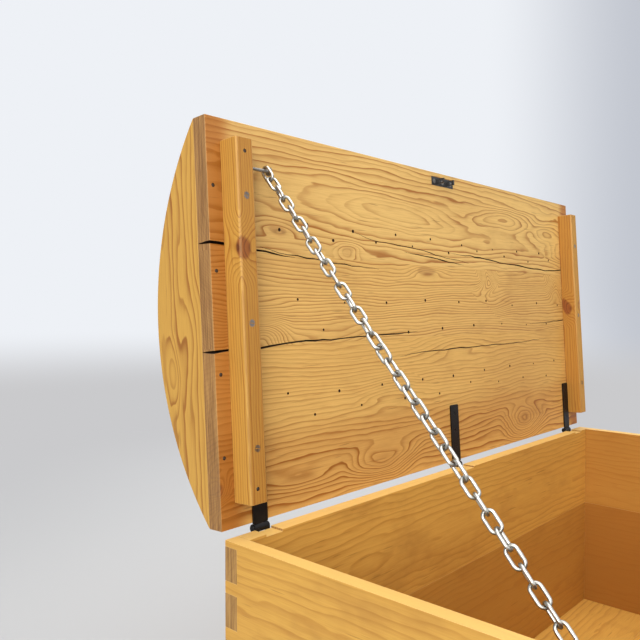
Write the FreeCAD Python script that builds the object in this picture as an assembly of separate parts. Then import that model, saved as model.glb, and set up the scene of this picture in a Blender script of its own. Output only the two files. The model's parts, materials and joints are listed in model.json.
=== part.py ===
import FreeCAD, Part
import math
import os
from FreeCAD import Vector

# Domed pine trunk with its lid standing open on a stay chain.
# Millimetres. Origin at the middle of the underside, X along the front, Y to the back, Z up.

# Chest walls and bottom
BODY_LENGTH = 1080.0
BODY_DEPTH = 520.0
LONG_WALL = 22.0
END_WALL = 20.0
UPPER_BOARD_HEIGHT = 172.0
LOWER_BOARD_HEIGHT = 228.0
BOTTOM_THICKNESS = 20.0
BOTTOM_BOARD_COUNT = 3
UPPER_TAIL_COUNT = 3
LOWER_TAIL_COUNT = 4
TAIL_NECK_SHARE = 0.52
TAIL_END_SHARE = 0.74

# Plinth
PLINTH_HEIGHT = 80.0
PLINTH_THICKNESS = 16.0
PLINTH_BEVEL = 8.0

# Lid
LID_SETBACK = 7.5
LID_FRONT_LIP = 1.7
LID_REST_GAP = 0.3
LID_OPEN_ANGLE = 93.5
PLANK_THICKNESS = 24.0
BACK_PLANK_WIDTH = 226.0
MIDDLE_PLANK_WIDTH = 124.0
DOME_RISE = 95.0
STAVE_COUNT = 6
STAVE_THICKNESS = 14.0
END_BOARD_THICKNESS = 22.0
STAVE_SEAT = 11.0
RIB_THICKNESS = 22.0
SEAT_GAP = 0.2

# Battens under the lid
BATTEN_WIDTH = 27.5
BATTEN_THICKNESS = 32.0
BATTEN_SIDE_GAP = 2.5
BATTEN_BACK_GAP = 11.0
BATTEN_FRONT_GAP = 6.5
BATTEN_CHAMFER = 1.5
BATTEN_SCREW_SHARES = (0.15, 0.49, 0.84)

# Strap hinges
HINGE_WIDTH = 25.0
HINGE_PLATE = 2.5
HINGE_EYE_RADIUS = 5.5
HINGE_PIN_RADIUS = 2.5
HINGE_PIN_CLEARANCE = 0.05
HINGE_WALL_GAP = 0.3
HINGE_KNUCKLE_GAP = 0.3
HINGE_SIDE_KNUCKLE = 6.2
HINGE_SHOULDER_GAP = 0.5
HINGE_BATTEN_GAP = 0.5
LID_STRAP_REACH = 108.0
WALL_STRAP_DROP = 120.0
STRAP_CLIP = 2.0
PIN_HEAD_RADIUS = 4.2
PIN_HEAD_THICKNESS = 1.5
NOTCH_SIDE_GAP = 1.5
NOTCH_DEPTH_GAP = 0.7
STRAP_SCREW_SHARES = (0.3, 0.58, 0.86)

# Flat-headed wood screws
SCREW_RADIUS = 2.0
SCREW_HEAD_RADIUS = 4.0
SCREW_HEAD_DEPTH = 2.0
SCREW_LENGTH = 18.0
SCREW_HOLE_GAP = 0.15
BATTEN_SCREW_LENGTH = 46.0
BATTEN_SCREW_HEAD_RADIUS = 4.6

# Lock with its link plate
LOCK_LENGTH = 70.0
LOCK_HEIGHT = 50.0
LOCK_DEPTH = 16.0
LOCK_SHEET = 1.5
LOCK_TOP_GAP = 0.3
LOCK_FIT = 0.2
COVER_LENGTH = 92.0
COVER_HEIGHT = 58.0
COVER_TOP_DROP = 3.0
COVER_THICKNESS = 2.0
COVER_SCREW_INSET = 5.5
LINK_PLATE_LENGTH = 70.0
LINK_PLATE_WIDTH = 15.0
LINK_PLATE_THICKNESS = 2.0
LINK_PLATE_SCREW_SHARES = (0.12, 0.5, 0.88)
LUG_SPACING = 32.0
LUG_THICKNESS = 3.5
LUG_WIDTH = 9.0
LUG_HEIGHT = 14.0
LUG_EYE = 5.6
LUG_TIP = 2.6
LUG_PLAY = 1.0
BOLT_THICKNESS = 4.0
BOLT_FINGER = 4.0
BOLT_FINGER_LENGTH = 12.5
BOLT_GAP = 1.5
BOLT_BAR_HEIGHT = 9.0
BOLT_BAR_DROP = 3.0
BOLT_TAIL = 8.0
BOLT_TALON = 5.0
BOLT_SHELF_GAP = 0.3
BOLT_SHELF_THICKNESS = 3.0
BOLT_SHELF_LENGTH = 23.0
KEYHOLE_DROP = 37.0
KEYHOLE_RADIUS = 3.6
KEYHOLE_SLOT_WIDTH = 3.2
KEYHOLE_SLOT_LENGTH = 10.0
ESCUTCHEON_HALF_WIDTH = 13.0
ESCUTCHEON_HALF_HEIGHT = 21.0
ESCUTCHEON_DROP = 40.0
ESCUTCHEON_THICKNESS = 1.5

# Drop handles on the two ends
HANDLE_RISE = 24.0
HANDLE_PLATE_LENGTH = 128.0
HANDLE_PLATE_HEIGHT = 34.0
HANDLE_PLATE = 2.5
HANDLE_PLATE_CLIP = 9.0
HANDLE_SCREW_INSET = 7.0
HANDLE_SCREW_SPREAD = 18.0
EAR_SPACING = 84.0
EAR_THICKNESS = 8.0
EAR_RADIUS = 8.0
EAR_REACH = 11.0
BAIL_RADIUS = 4.0
BAIL_CLEARANCE = 0.08
BAIL_PIN_END = 2.0
BAIL_ARM_GAP = 5.0
BAIL_DROP = 56.0
BAIL_TOP_BEND = 8.0
BAIL_GRIP_BEND = 18.0

# Stay chain and the two screws that hold it
LINK_WIRE = 4.0
LINK_INNER_WIDTH = 8.0
LINK_PITCH = 19.0
LINK_PLAY = 0.3
LINK_SIDES = 6
LINK_ROLL = 57.0
LINK_ROLL_WAVE = 18.0
LINK_ROLL_PERIOD = 6.6
LINK_ROLL_EASE = 4
TURN_UPPER_LINKS = 2
TURN_LOWER_LINKS = 3
UPPER_RUN_EXTRA_LINKS = 2
CHAIN_SCREW_RADIUS = 2.5
CHAIN_SCREW_REACH = 40.0
CHAIN_SCREW_BITE = 15.0
CHAIN_SCREW_HEAD_RADIUS = 6.0
CHAIN_SCREW_HEAD_HEIGHT = 3.6
CHAIN_LINK_INSET = 5.0
CHAIN_LID_SETBACK = 33.0
CHAIN_WALL_DROP = 54.0
CHAIN_WALL_SETBACK = 52.0

# Every cut runs this far past the face that it opens
OVERRUN = 2.0

# Derived places
HALF_LENGTH = BODY_LENGTH / 2
HALF_DEPTH = BODY_DEPTH / 2
JOINT_Z = BOTTOM_THICKNESS + LOWER_BOARD_HEIGHT
RIM_Z = JOINT_Z + UPPER_BOARD_HEIGHT
HANDLE_HEIGHT = JOINT_Z + HANDLE_RISE
BACK_INNER_Y = HALF_DEPTH - LONG_WALL
FRONT_INNER_Y = LONG_WALL - HALF_DEPTH
END_INNER_X = HALF_LENGTH - END_WALL
AXIS_Y = HALF_DEPTH + HINGE_WALL_GAP + HINGE_EYE_RADIUS
AXIS_Z = RIM_Z + LID_REST_GAP
LID_BACK_Y = AXIS_Y - LID_SETBACK
LID_FRONT_Y = -HALF_DEPTH - LID_FRONT_LIP
LID_DEPTH = LID_BACK_Y - LID_FRONT_Y
PLANK_TOP_Z = AXIS_Z + PLANK_THICKNESS
DOME_RADIUS = (LID_DEPTH ** 2 / 4 + DOME_RISE ** 2) / (2 * DOME_RISE)
DOME_Y = (LID_BACK_Y + LID_FRONT_Y) / 2
DOME_Z = PLANK_TOP_Z + DOME_RISE - DOME_RADIUS
BATTEN_OUTER_X = END_INNER_X - BATTEN_SIDE_GAP
BATTEN_INNER_X = BATTEN_OUTER_X - BATTEN_WIDTH
BATTEN_BACK_Y = BACK_INNER_Y - BATTEN_BACK_GAP
BATTEN_FRONT_Y = FRONT_INNER_Y + BATTEN_FRONT_GAP
HINGE_X = BATTEN_INNER_X - HINGE_BATTEN_GAP - HINGE_WIDTH / 2
HINGE_PLACES = {"left": -HINGE_X, "middle": 0, "right": HINGE_X}
MIDDLE_KNUCKLE = HINGE_WIDTH - 2 * (HINGE_SIDE_KNUCKLE + HINGE_KNUCKLE_GAP)
SHOULDER = HINGE_EYE_RADIUS + HINGE_SHOULDER_GAP
LOCK_FRONT_Y = FRONT_INNER_Y - LOCK_DEPTH
LOCK_Y = (FRONT_INNER_Y + LOCK_FRONT_Y) / 2
LOCK_TOP_Z = RIM_Z - LOCK_TOP_GAP
LUG_TIP_Z = AXIS_Z - LUG_HEIGHT
KEYHOLE_Z = RIM_Z - KEYHOLE_DROP
SIDES = {"left": -1, "right": 1}

os.makedirs("parts", exist_ok=True)


def save(name, shape):
    shape.exportStep("parts/" + name + ".step")


def box(x_pair, y_pair, z_pair):
    low = Vector(min(x_pair), min(y_pair), min(z_pair))
    high = Vector(max(x_pair), max(y_pair), max(z_pair))
    return Part.makeBox(high.x - low.x, high.y - low.y, high.z - low.z, low)


def prism(points, run):
    outline = Part.makePolygon(points + points[:1])
    return Part.Face(outline).extrude(run)


def rod(radius, start, run):
    return Part.makeCylinder(radius, run.Length, start, run)


def group(solids):
    return Part.makeCompound(solids)


def turned_open(shape):
    """Swing a lid piece from the closed lid to the open one."""
    opened = shape.copy()
    opened.rotate(Vector(0, AXIS_Y, AXIS_Z), Vector(1, 0, 0), -LID_OPEN_ANGLE)
    return opened


def save_lid(name, shape):
    save(name, turned_open(shape))


def flat_screw(seat, inward, length, head_radius):
    """Countersunk screw: its head's flat lies at the seat, its shank runs inward."""
    run = Vector(inward).normalize()
    head = Part.makeCone(head_radius, SCREW_RADIUS, SCREW_HEAD_DEPTH, seat, run)
    shank = rod(SCREW_RADIUS, seat + run * SCREW_HEAD_DEPTH, run * (length - SCREW_HEAD_DEPTH))
    return head.fuse(shank).removeSplitter()


def screw_hole(seat, inward):
    """Countersunk hole through a thin plate."""
    run = Vector(inward).normalize()
    gap = SCREW_HOLE_GAP
    cone = Part.makeCone(SCREW_HEAD_RADIUS + gap, SCREW_RADIUS + gap, SCREW_HEAD_DEPTH, seat, run)
    shank = rod(SCREW_RADIUS + gap, seat, run * SCREW_LENGTH)
    return cone.fuse(shank)


# Walls

def tail_outlines(z_low, z_high, count, side):
    """The dovetails at one end of a long wall board, as outlines in X and Z."""
    pitch = (z_high - z_low) / count
    outlines = []
    for number in range(count):
        middle = z_low + pitch * (number + 0.5)
        neck = pitch * TAIL_NECK_SHARE / 2
        end = pitch * TAIL_END_SHARE / 2
        outlines.append([
            (side * END_INNER_X, middle - neck),
            (side * HALF_LENGTH, middle - end),
            (side * HALF_LENGTH, middle + end),
            (side * END_INNER_X, middle + neck),
        ])
    return outlines


def long_board(y_low, z_low, z_high, count):
    """Front or back wall board with tails at both ends."""
    right = [point for tail in tail_outlines(z_low, z_high, count, 1) for point in tail]
    left = [(-x, z) for x, z in reversed(right)]
    outline = [(-END_INNER_X, z_low), (END_INNER_X, z_low)] + right
    outline += [(END_INNER_X, z_high), (-END_INNER_X, z_high)] + left
    return prism([Vector(x, y_low, z) for x, z in outline], Vector(0, LONG_WALL, 0))


def end_board(side, z_low, z_high, count):
    """Left or right wall board: a plank with sockets for the tails."""
    board = box((side * END_INNER_X, side * HALF_LENGTH), (-HALF_DEPTH, HALF_DEPTH), (z_low, z_high))
    for outline in tail_outlines(z_low, z_high, count, side):
        for y_low in (-HALF_DEPTH, BACK_INNER_Y):
            points = [Vector(x, y_low, z) for x, z in outline]
            board = board.cut(prism(points, Vector(0, LONG_WALL, 0)))
    return board


def keyhole(y_low, y_high):
    run = Vector(0, y_high - y_low, 0)
    half = KEYHOLE_SLOT_WIDTH / 2
    slot_z = (KEYHOLE_Z - KEYHOLE_SLOT_LENGTH, KEYHOLE_Z)
    barrel = rod(KEYHOLE_RADIUS, Vector(0, y_low, KEYHOLE_Z), run)
    return barrel.fuse(box((-half, half), (y_low, y_high), slot_z))


def hinge_notch(x):
    half = HINGE_WIDTH / 2 + NOTCH_SIDE_GAP
    depth = HINGE_PLATE + NOTCH_DEPTH_GAP
    y_pair = (BACK_INNER_Y - OVERRUN, HALF_DEPTH + OVERRUN)
    return box((x - half, x + half), y_pair, (RIM_Z - depth, RIM_Z + OVERRUN))


def lock_pocket():
    half = LOCK_LENGTH / 2 + LOCK_FIT
    y_pair = (LOCK_FRONT_Y - LOCK_FIT, FRONT_INNER_Y + OVERRUN)
    z_pair = (LOCK_TOP_Z - LOCK_HEIGHT - LOCK_FIT, RIM_Z + OVERRUN)
    return box((-half, half), y_pair, z_pair)


def build_walls():
    rows = (
        ("lower", BOTTOM_THICKNESS, JOINT_Z, LOWER_TAIL_COUNT),
        ("upper", JOINT_Z, RIM_Z, UPPER_TAIL_COUNT),
    )
    for row, z_low, z_high, count in rows:
        front = long_board(-HALF_DEPTH, z_low, z_high, count)
        back = long_board(BACK_INNER_Y, z_low, z_high, count)
        if row == "upper":
            front = front.cut(lock_pocket())
            front = front.cut(keyhole(-HALF_DEPTH - OVERRUN, LOCK_FRONT_Y + OVERRUN))
            for x in HINGE_PLACES.values():
                back = back.cut(hinge_notch(x))
        save("front_" + row + "_board", front)
        save("back_" + row + "_board", back)
        for name, side in SIDES.items():
            save(name + "_" + row + "_board", end_board(side, z_low, z_high, count))


def build_bottom():
    width = BODY_DEPTH / BOTTOM_BOARD_COUNT
    for number in range(BOTTOM_BOARD_COUNT):
        y_low = number * width - HALF_DEPTH
        board = box((-HALF_LENGTH, HALF_LENGTH), (y_low, y_low + width), (0, BOTTOM_THICKNESS))
        save("bottom_board_" + str(number + 1), board)


def plinth_board(half_run, distance):
    """Plinth board along X at the front, bevelled on top and mitred at both ends."""
    thick = PLINTH_THICKNESS
    profile = [
        (0, 0), (thick, 0), (thick, PLINTH_HEIGHT - PLINTH_BEVEL),
        (thick - PLINTH_BEVEL, PLINTH_HEIGHT), (0, PLINTH_HEIGHT),
    ]
    long_half = half_run + thick
    points = [Vector(-long_half, -distance - out, z) for out, z in profile]
    board = prism(points, Vector(2 * long_half, 0, 0))
    mitre = [
        Vector(half_run, -distance, -OVERRUN),
        Vector(half_run + thick + OVERRUN, -distance - thick - OVERRUN, -OVERRUN),
        Vector(half_run + thick + OVERRUN, -distance, -OVERRUN),
    ]
    rise = Vector(0, 0, PLINTH_HEIGHT + 2 * OVERRUN)
    board = board.cut(prism(mitre, rise))
    mirrored = [Vector(-point.x, point.y, point.z) for point in mitre]
    return board.cut(prism(mirrored, rise))


def build_plinth():
    boards = (
        ("front", HALF_LENGTH, HALF_DEPTH, 0), ("right", HALF_DEPTH, HALF_LENGTH, 90),
        ("back", HALF_LENGTH, HALF_DEPTH, 180), ("left", HALF_DEPTH, HALF_LENGTH, 270),
    )
    for name, half_run, distance, turn in boards:
        board = plinth_board(half_run, distance)
        board.rotate(Vector(0, 0, 0), Vector(0, 0, 1), turn)
        save("plinth_" + name, board)


# Lid, modelled closed

def build_planks():
    widths = (
        ("back", BACK_PLANK_WIDTH), ("middle", MIDDLE_PLANK_WIDTH),
        ("front", LID_DEPTH - BACK_PLANK_WIDTH - MIDDLE_PLANK_WIDTH),
    )
    y_high = LID_BACK_Y
    for name, width in widths:
        plank = box((-HALF_LENGTH, HALF_LENGTH), (y_high - width, y_high), (AXIS_Z, PLANK_TOP_Z))
        if name == "front":
            plank = plank.cut(link_plate_blank(LOCK_FIT))
        save_lid("lid_plank_" + name, plank)
        y_high -= width


def dome_angle(radius):
    """Half angle at which a circle of the dome meets the planks."""
    return math.acos((PLANK_TOP_Z - DOME_Z) / radius)


def dome_point(x, radius, angle):
    return Vector(x, DOME_Y + radius * math.sin(angle), DOME_Z + radius * math.cos(angle))


def dome_arc(x, radius, start, end):
    points = [dome_point(x, radius, angle) for angle in (start, (start + end) / 2, end)]
    return Part.Arc(*points).toShape()


def dome_segment(x_low, x_high, radius):
    """Solid circle segment standing on the planks."""
    half = dome_angle(radius)
    arc = dome_arc(x_low, radius, -half, half)
    chord = Part.makeLine(dome_point(x_low, radius, half), dome_point(x_low, radius, -half))
    return Part.Face(Part.Wire([arc, chord])).extrude(Vector(x_high - x_low, 0, 0))


def build_dome():
    inner = DOME_RADIUS - STAVE_THICKNESS
    for name, side in SIDES.items():
        outer_x = side * HALF_LENGTH
        step_x = side * (HALF_LENGTH - STAVE_SEAT)
        inner_x = side * (HALF_LENGTH - END_BOARD_THICKNESS)
        board = dome_segment(outer_x, step_x, DOME_RADIUS)
        board = board.fuse(dome_segment(step_x, inner_x, inner - SEAT_GAP)).removeSplitter()
        save_lid("lid_end_board_" + name, board)
    save_lid("lid_rib", dome_segment(-RIB_THICKNESS / 2, RIB_THICKNESS / 2, inner - SEAT_GAP))
    stave_x = HALF_LENGTH - STAVE_SEAT
    outer_half = dome_angle(DOME_RADIUS)
    inner_half = dome_angle(inner)
    step = 2 * outer_half / STAVE_COUNT
    for number in range(STAVE_COUNT):
        low = number * step - outer_half
        high = low + step
        inner_low = max(low, -inner_half)
        inner_high = min(high, inner_half)
        edges = [
            dome_arc(-stave_x, DOME_RADIUS, low, high),
            Part.makeLine(dome_point(-stave_x, DOME_RADIUS, high), dome_point(-stave_x, inner, inner_high)),
            dome_arc(-stave_x, inner, inner_high, inner_low),
            Part.makeLine(dome_point(-stave_x, inner, inner_low), dome_point(-stave_x, DOME_RADIUS, low)),
        ]
        stave = Part.Face(Part.Wire(edges)).extrude(Vector(2 * stave_x, 0, 0))
        save_lid("lid_stave_" + str(number + 1), stave)


def build_battens():
    low_z = AXIS_Z - BATTEN_THICKNESS
    cut = BATTEN_CHAMFER
    screws = []
    for name, side in SIDES.items():
        outer = side * BATTEN_OUTER_X
        inner = side * BATTEN_INNER_X
        profile = [
            (outer, AXIS_Z), (outer, low_z + cut), (outer - side * cut, low_z),
            (inner + side * cut, low_z), (inner, low_z + cut), (inner, AXIS_Z),
        ]
        points = [Vector(x, BATTEN_FRONT_Y, z) for x, z in profile]
        length = BATTEN_BACK_Y - BATTEN_FRONT_Y
        save_lid("lid_batten_" + name, prism(points, Vector(0, length, 0)))
        for share in BATTEN_SCREW_SHARES:
            seat = Vector((outer + inner) / 2, BATTEN_BACK_Y - share * length, low_z)
            screws.append(flat_screw(seat, Vector(0, 0, 1), BATTEN_SCREW_LENGTH, BATTEN_SCREW_HEAD_RADIUS))
    save_lid("batten_screws", group(screws))


# Hinges

def strap_outline(reach):
    """Half-open strap: a tongue at the eye, then the full width with clipped corners."""
    half = HINGE_WIDTH / 2
    tongue = MIDDLE_KNUCKLE / 2
    side = [(tongue, 0), (tongue, SHOULDER), (half, SHOULDER), (half, reach - STRAP_CLIP)]
    side.append((half - STRAP_CLIP, reach))
    return side + [(-across, along) for across, along in reversed(side)]


def wall_leaf_outline(reach):
    """Leaf with two tongues, one at each side of the lid strap's eye."""
    half = HINGE_WIDTH / 2
    gap = half - HINGE_SIDE_KNUCKLE
    side = [(gap, SHOULDER), (gap, 0), (half, 0), (half, reach - STRAP_CLIP), (half - STRAP_CLIP, reach)]
    return side + [(-across, along) for across, along in reversed(side)]


def eye(x_low, x_high):
    return rod(HINGE_EYE_RADIUS, Vector(x_low, AXIS_Y, AXIS_Z), Vector(x_high - x_low, 0, 0))


def build_hinges():
    lid_screws = []
    wall_screws = []
    up = Vector(0, 0, 1)
    front = Vector(0, -1, 0)
    half = HINGE_WIDTH / 2
    for name, x in HINGE_PLACES.items():
        bore = rod(
            HINGE_PIN_RADIUS + HINGE_PIN_CLEARANCE,
            Vector(x - HINGE_WIDTH, AXIS_Y, AXIS_Z), Vector(2 * HINGE_WIDTH, 0, 0),
        )
        plate_z = AXIS_Z - HINGE_PLATE
        outline = [Vector(x + across, AXIS_Y - along, plate_z) for across, along in strap_outline(LID_STRAP_REACH)]
        strap = prism(outline, Vector(0, 0, HINGE_PLATE))
        strap = strap.fuse(eye(x - MIDDLE_KNUCKLE / 2, x + MIDDLE_KNUCKLE / 2)).cut(bore)
        for share in STRAP_SCREW_SHARES:
            seat = Vector(x, AXIS_Y - share * LID_STRAP_REACH, plate_z)
            strap = strap.cut(screw_hole(seat, up))
            lid_screws.append(flat_screw(seat, up, SCREW_LENGTH, SCREW_HEAD_RADIUS))
        save_lid("hinge_lid_strap_" + name, strap.removeSplitter())

        outline = [Vector(x + across, HALF_DEPTH, AXIS_Z - along) for across, along in wall_leaf_outline(WALL_STRAP_DROP)]
        leaf = prism(outline, Vector(0, HINGE_PLATE, 0))
        for x_low in (x - half, x + half - HINGE_SIDE_KNUCKLE):
            leaf = leaf.fuse(eye(x_low, x_low + HINGE_SIDE_KNUCKLE))
        leaf = leaf.cut(bore)
        for share in STRAP_SCREW_SHARES:
            seat = Vector(x, HALF_DEPTH + HINGE_PLATE, AXIS_Z - share * WALL_STRAP_DROP)
            leaf = leaf.cut(screw_hole(seat, front))
            wall_screws.append(flat_screw(seat, front, SCREW_LENGTH, SCREW_HEAD_RADIUS))
        save("hinge_wall_leaf_" + name, leaf.removeSplitter())

        reach = half + HINGE_PIN_CLEARANCE
        pin = rod(HINGE_PIN_RADIUS, Vector(x - reach, AXIS_Y, AXIS_Z), Vector(2 * reach, 0, 0))
        for side in SIDES.values():
            head_at = Vector(x + side * reach, AXIS_Y, AXIS_Z)
            pin = pin.fuse(rod(PIN_HEAD_RADIUS, head_at, Vector(side * PIN_HEAD_THICKNESS, 0, 0)))
        save("hinge_pin_" + name, pin.removeSplitter())
    save_lid("hinge_lid_screws", group(lid_screws))
    save("hinge_wall_screws", group(wall_screws))


# Lock

def lug_places():
    return [side * LUG_SPACING / 2 for side in SIDES.values()]


def link_plate_blank(fit):
    half_length = LINK_PLATE_LENGTH / 2 + fit
    half_width = LINK_PLATE_WIDTH / 2 + fit
    y_pair = (LOCK_Y - half_width, LOCK_Y + half_width)
    low_z = AXIS_Z - (OVERRUN if fit else 0)
    return box((-half_length, half_length), y_pair, (low_z, AXIS_Z + LINK_PLATE_THICKNESS))


def build_link_plate():
    plate = link_plate_blank(0)
    half_thick = LUG_THICKNESS / 2
    half_wide = LUG_WIDTH / 2
    half_eye = LUG_EYE / 2
    up = Vector(0, 0, 1)
    eye_z = (LUG_TIP_Z + LUG_TIP, LUG_TIP_Z + LUG_TIP + LUG_EYE)
    for x in lug_places():
        lug = box((x - half_thick, x + half_thick), (LOCK_Y - half_wide, LOCK_Y + half_wide), (LUG_TIP_Z, AXIS_Z))
        window_x = (x - half_thick - OVERRUN, x + half_thick + OVERRUN)
        window = box(window_x, (LOCK_Y - half_eye, LOCK_Y + half_eye), eye_z)
        plate = plate.fuse(lug.cut(window))
    screws = []
    for share in LINK_PLATE_SCREW_SHARES:
        seat = Vector((share - 0.5) * LINK_PLATE_LENGTH, LOCK_Y, AXIS_Z)
        plate = plate.cut(screw_hole(seat, up))
        screws.append(flat_screw(seat, up, SCREW_LENGTH, SCREW_HEAD_RADIUS))
    save_lid("lock_link_plate", plate.removeSplitter())
    save_lid("link_plate_screws", group(screws))


def build_lock_case():
    half = LOCK_LENGTH / 2
    low_z = LOCK_TOP_Z - LOCK_HEIGHT
    case = box((-half, half), (LOCK_FRONT_Y, FRONT_INNER_Y), (low_z, LOCK_TOP_Z))
    hollow_x = half - LOCK_SHEET
    hollow_z = (low_z + LOCK_SHEET, LOCK_TOP_Z - LOCK_SHEET)
    case = case.cut(box((-hollow_x, hollow_x), (LOCK_FRONT_Y + LOCK_SHEET, FRONT_INNER_Y + OVERRUN), hollow_z))
    half_thick = LUG_THICKNESS / 2 + LUG_PLAY
    half_wide = LUG_WIDTH / 2 + LUG_PLAY
    for x in lug_places():
        slot_z = (LOCK_TOP_Z - LOCK_SHEET - OVERRUN, LOCK_TOP_Z + OVERRUN)
        case = case.cut(box((x - half_thick, x + half_thick), (LOCK_Y - half_wide, LOCK_Y + half_wide), slot_z))
    shelf_high = LUG_TIP_Z - BOLT_BAR_DROP - BOLT_BAR_HEIGHT - BOLT_SHELF_GAP
    shelf_z = (shelf_high - BOLT_SHELF_THICKNESS, shelf_high)
    for side in SIDES.values():
        shelf_x = (side * hollow_x, side * (hollow_x - BOLT_SHELF_LENGTH))
        case = case.fuse(box(shelf_x, (LOCK_FRONT_Y + LOCK_SHEET, FRONT_INNER_Y), shelf_z))
    case = case.cut(keyhole(LOCK_FRONT_Y - OVERRUN, LOCK_FRONT_Y + LOCK_SHEET + OVERRUN))
    save("lock_case", case.removeSplitter())


def build_lock_bolt():
    """Bar with two fingers that pass through the lugs when it is thrown to the right."""
    bar_high = LUG_TIP_Z - BOLT_BAR_DROP
    bar_low = bar_high - BOLT_BAR_HEIGHT
    finger_low = LUG_TIP_Z + LUG_TIP + (LUG_EYE - BOLT_FINGER) / 2
    finger_high = finger_low + BOLT_FINGER
    tips = [x - LUG_THICKNESS / 2 - BOLT_GAP for x in lug_places()]
    starts = [tip - BOLT_FINGER_LENGTH for tip in tips]
    outline = [(starts[0], bar_low), (-BOLT_TALON, bar_low), (-BOLT_TALON, bar_low + BOLT_TALON)]
    outline += [(0, bar_low + BOLT_TALON), (0, bar_low)]
    end = starts[1] + BOLT_FINGER + BOLT_TAIL
    outline += [(end, bar_low), (end, bar_high)]
    for start, tip in reversed(list(zip(starts, tips))):
        post = start + BOLT_FINGER
        outline += [(post, bar_high), (post, finger_low), (tip, finger_low), (tip, finger_high), (start, finger_high)]
        if start != starts[0]:
            outline.append((start, bar_high))
    y_low = LOCK_Y - BOLT_THICKNESS / 2
    save("lock_bolt", prism([Vector(x, y_low, z) for x, z in outline], Vector(0, BOLT_THICKNESS, 0)))


def build_lock_cover():
    half = COVER_LENGTH / 2
    high_z = RIM_Z - COVER_TOP_DROP
    low_z = high_z - COVER_HEIGHT
    cover = box((-half, half), (FRONT_INNER_Y, FRONT_INNER_Y + COVER_THICKNESS), (low_z, high_z))
    screws = []
    inward = Vector(0, -1, 0)
    for side in SIDES.values():
        for z in (low_z + COVER_SCREW_INSET, high_z - COVER_SCREW_INSET):
            seat = Vector(side * (half - COVER_SCREW_INSET), FRONT_INNER_Y + COVER_THICKNESS, z)
            cover = cover.cut(screw_hole(seat, inward))
            screws.append(flat_screw(seat, inward, SCREW_LENGTH, SCREW_HEAD_RADIUS))
    save("lock_cover", cover)
    save("lock_screws", group(screws))


def build_escutcheon():
    centre = Vector(0, -HALF_DEPTH, RIM_Z - ESCUTCHEON_DROP)
    out = Vector(0, -1, 0)
    tall = centre + Vector(0, 0, ESCUTCHEON_HALF_HEIGHT)
    wide = centre + Vector(ESCUTCHEON_HALF_WIDTH, 0, 0)
    oval = Part.Ellipse(tall, wide, centre).toShape()
    plate = Part.Face(Part.Wire([oval])).extrude(out * ESCUTCHEON_THICKNESS)
    plate = plate.cut(keyhole(-HALF_DEPTH - ESCUTCHEON_THICKNESS - OVERRUN, -HALF_DEPTH + OVERRUN))
    save("escutcheon", plate)


# Handles, modelled on the right end

def handle_axis_x():
    return HALF_LENGTH + HANDLE_PLATE + EAR_REACH


def handle_plate_solid():
    half = HANDLE_PLATE_LENGTH / 2
    tall = HANDLE_PLATE_HEIGHT / 2
    clip = HANDLE_PLATE_CLIP
    corner = [(half, tall - clip), (half - clip, tall)]
    side = corner + [(-y, z) for y, z in reversed(corner)]
    outline = side + [(-y, -z) for y, z in side]
    points = [Vector(HALF_LENGTH, y, HANDLE_HEIGHT + z) for y, z in outline]
    plate = prism(points, Vector(HANDLE_PLATE, 0, 0))
    axis_x = handle_axis_x()
    for middle in (-EAR_SPACING / 2, EAR_SPACING / 2):
        y_low = middle - EAR_THICKNESS / 2
        y_high = middle + EAR_THICKNESS / 2
        z_pair = (HANDLE_HEIGHT - EAR_RADIUS, HANDLE_HEIGHT + EAR_RADIUS)
        neck = box((HALF_LENGTH, axis_x), (y_low, y_high), z_pair)
        start = Vector(axis_x, y_low, HANDLE_HEIGHT)
        along = Vector(0, EAR_THICKNESS, 0)
        plate = plate.fuse(neck.fuse(rod(EAR_RADIUS, start, along)))
        plate = plate.cut(rod(BAIL_RADIUS + BAIL_CLEARANCE, start - along, along * 3))
    return plate.removeSplitter()


def handle_screw_seats():
    y = HANDLE_PLATE_LENGTH / 2 - HANDLE_SCREW_INSET
    z = HANDLE_SCREW_SPREAD / 2
    spots = [(-y, 0), (y, 0), (0, z), (0, -z)]
    return [Vector(HALF_LENGTH + HANDLE_PLATE, y, HANDLE_HEIGHT + z) for y, z in spots]


def bail_solid():
    """Round bar bent to a flat U, its ends turned in through the ears."""
    pin_end = EAR_SPACING / 2 - EAR_THICKNESS / 2 - BAIL_PIN_END
    arm = EAR_SPACING / 2 + EAR_THICKNESS / 2 + BAIL_ARM_GAP + BAIL_RADIUS
    x = handle_axis_x()
    top = HANDLE_HEIGHT
    low = HANDLE_HEIGHT - BAIL_DROP
    bend = BAIL_TOP_BEND
    grip = BAIL_GRIP_BEND
    bend_share = 1 - math.sqrt(0.5)

    def at(y, z):
        return Vector(x, y, z)

    half = [
        Part.makeLine(at(pin_end, top), at(arm - bend, top)),
        Part.Arc(
            at(arm - bend, top), at(arm - bend * bend_share, top - bend * bend_share), at(arm, top - bend)
        ).toShape(),
        Part.makeLine(at(arm, top - bend), at(arm, low + grip)),
        Part.Arc(
            at(arm, low + grip), at(arm - grip * bend_share, low + grip * bend_share), at(arm - grip, low)
        ).toShape(),
        Part.makeLine(at(arm - grip, low), at(0, low)),
    ]
    section = Part.Wire([Part.makeCircle(BAIL_RADIUS, at(pin_end, top), Vector(0, 1, 0))])
    side = Part.Wire(half).makePipeShell([section], True, False)
    other = side.mirror(Vector(0, 0, 0), Vector(0, 1, 0))
    return side.fuse(other).removeSplitter()


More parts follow.
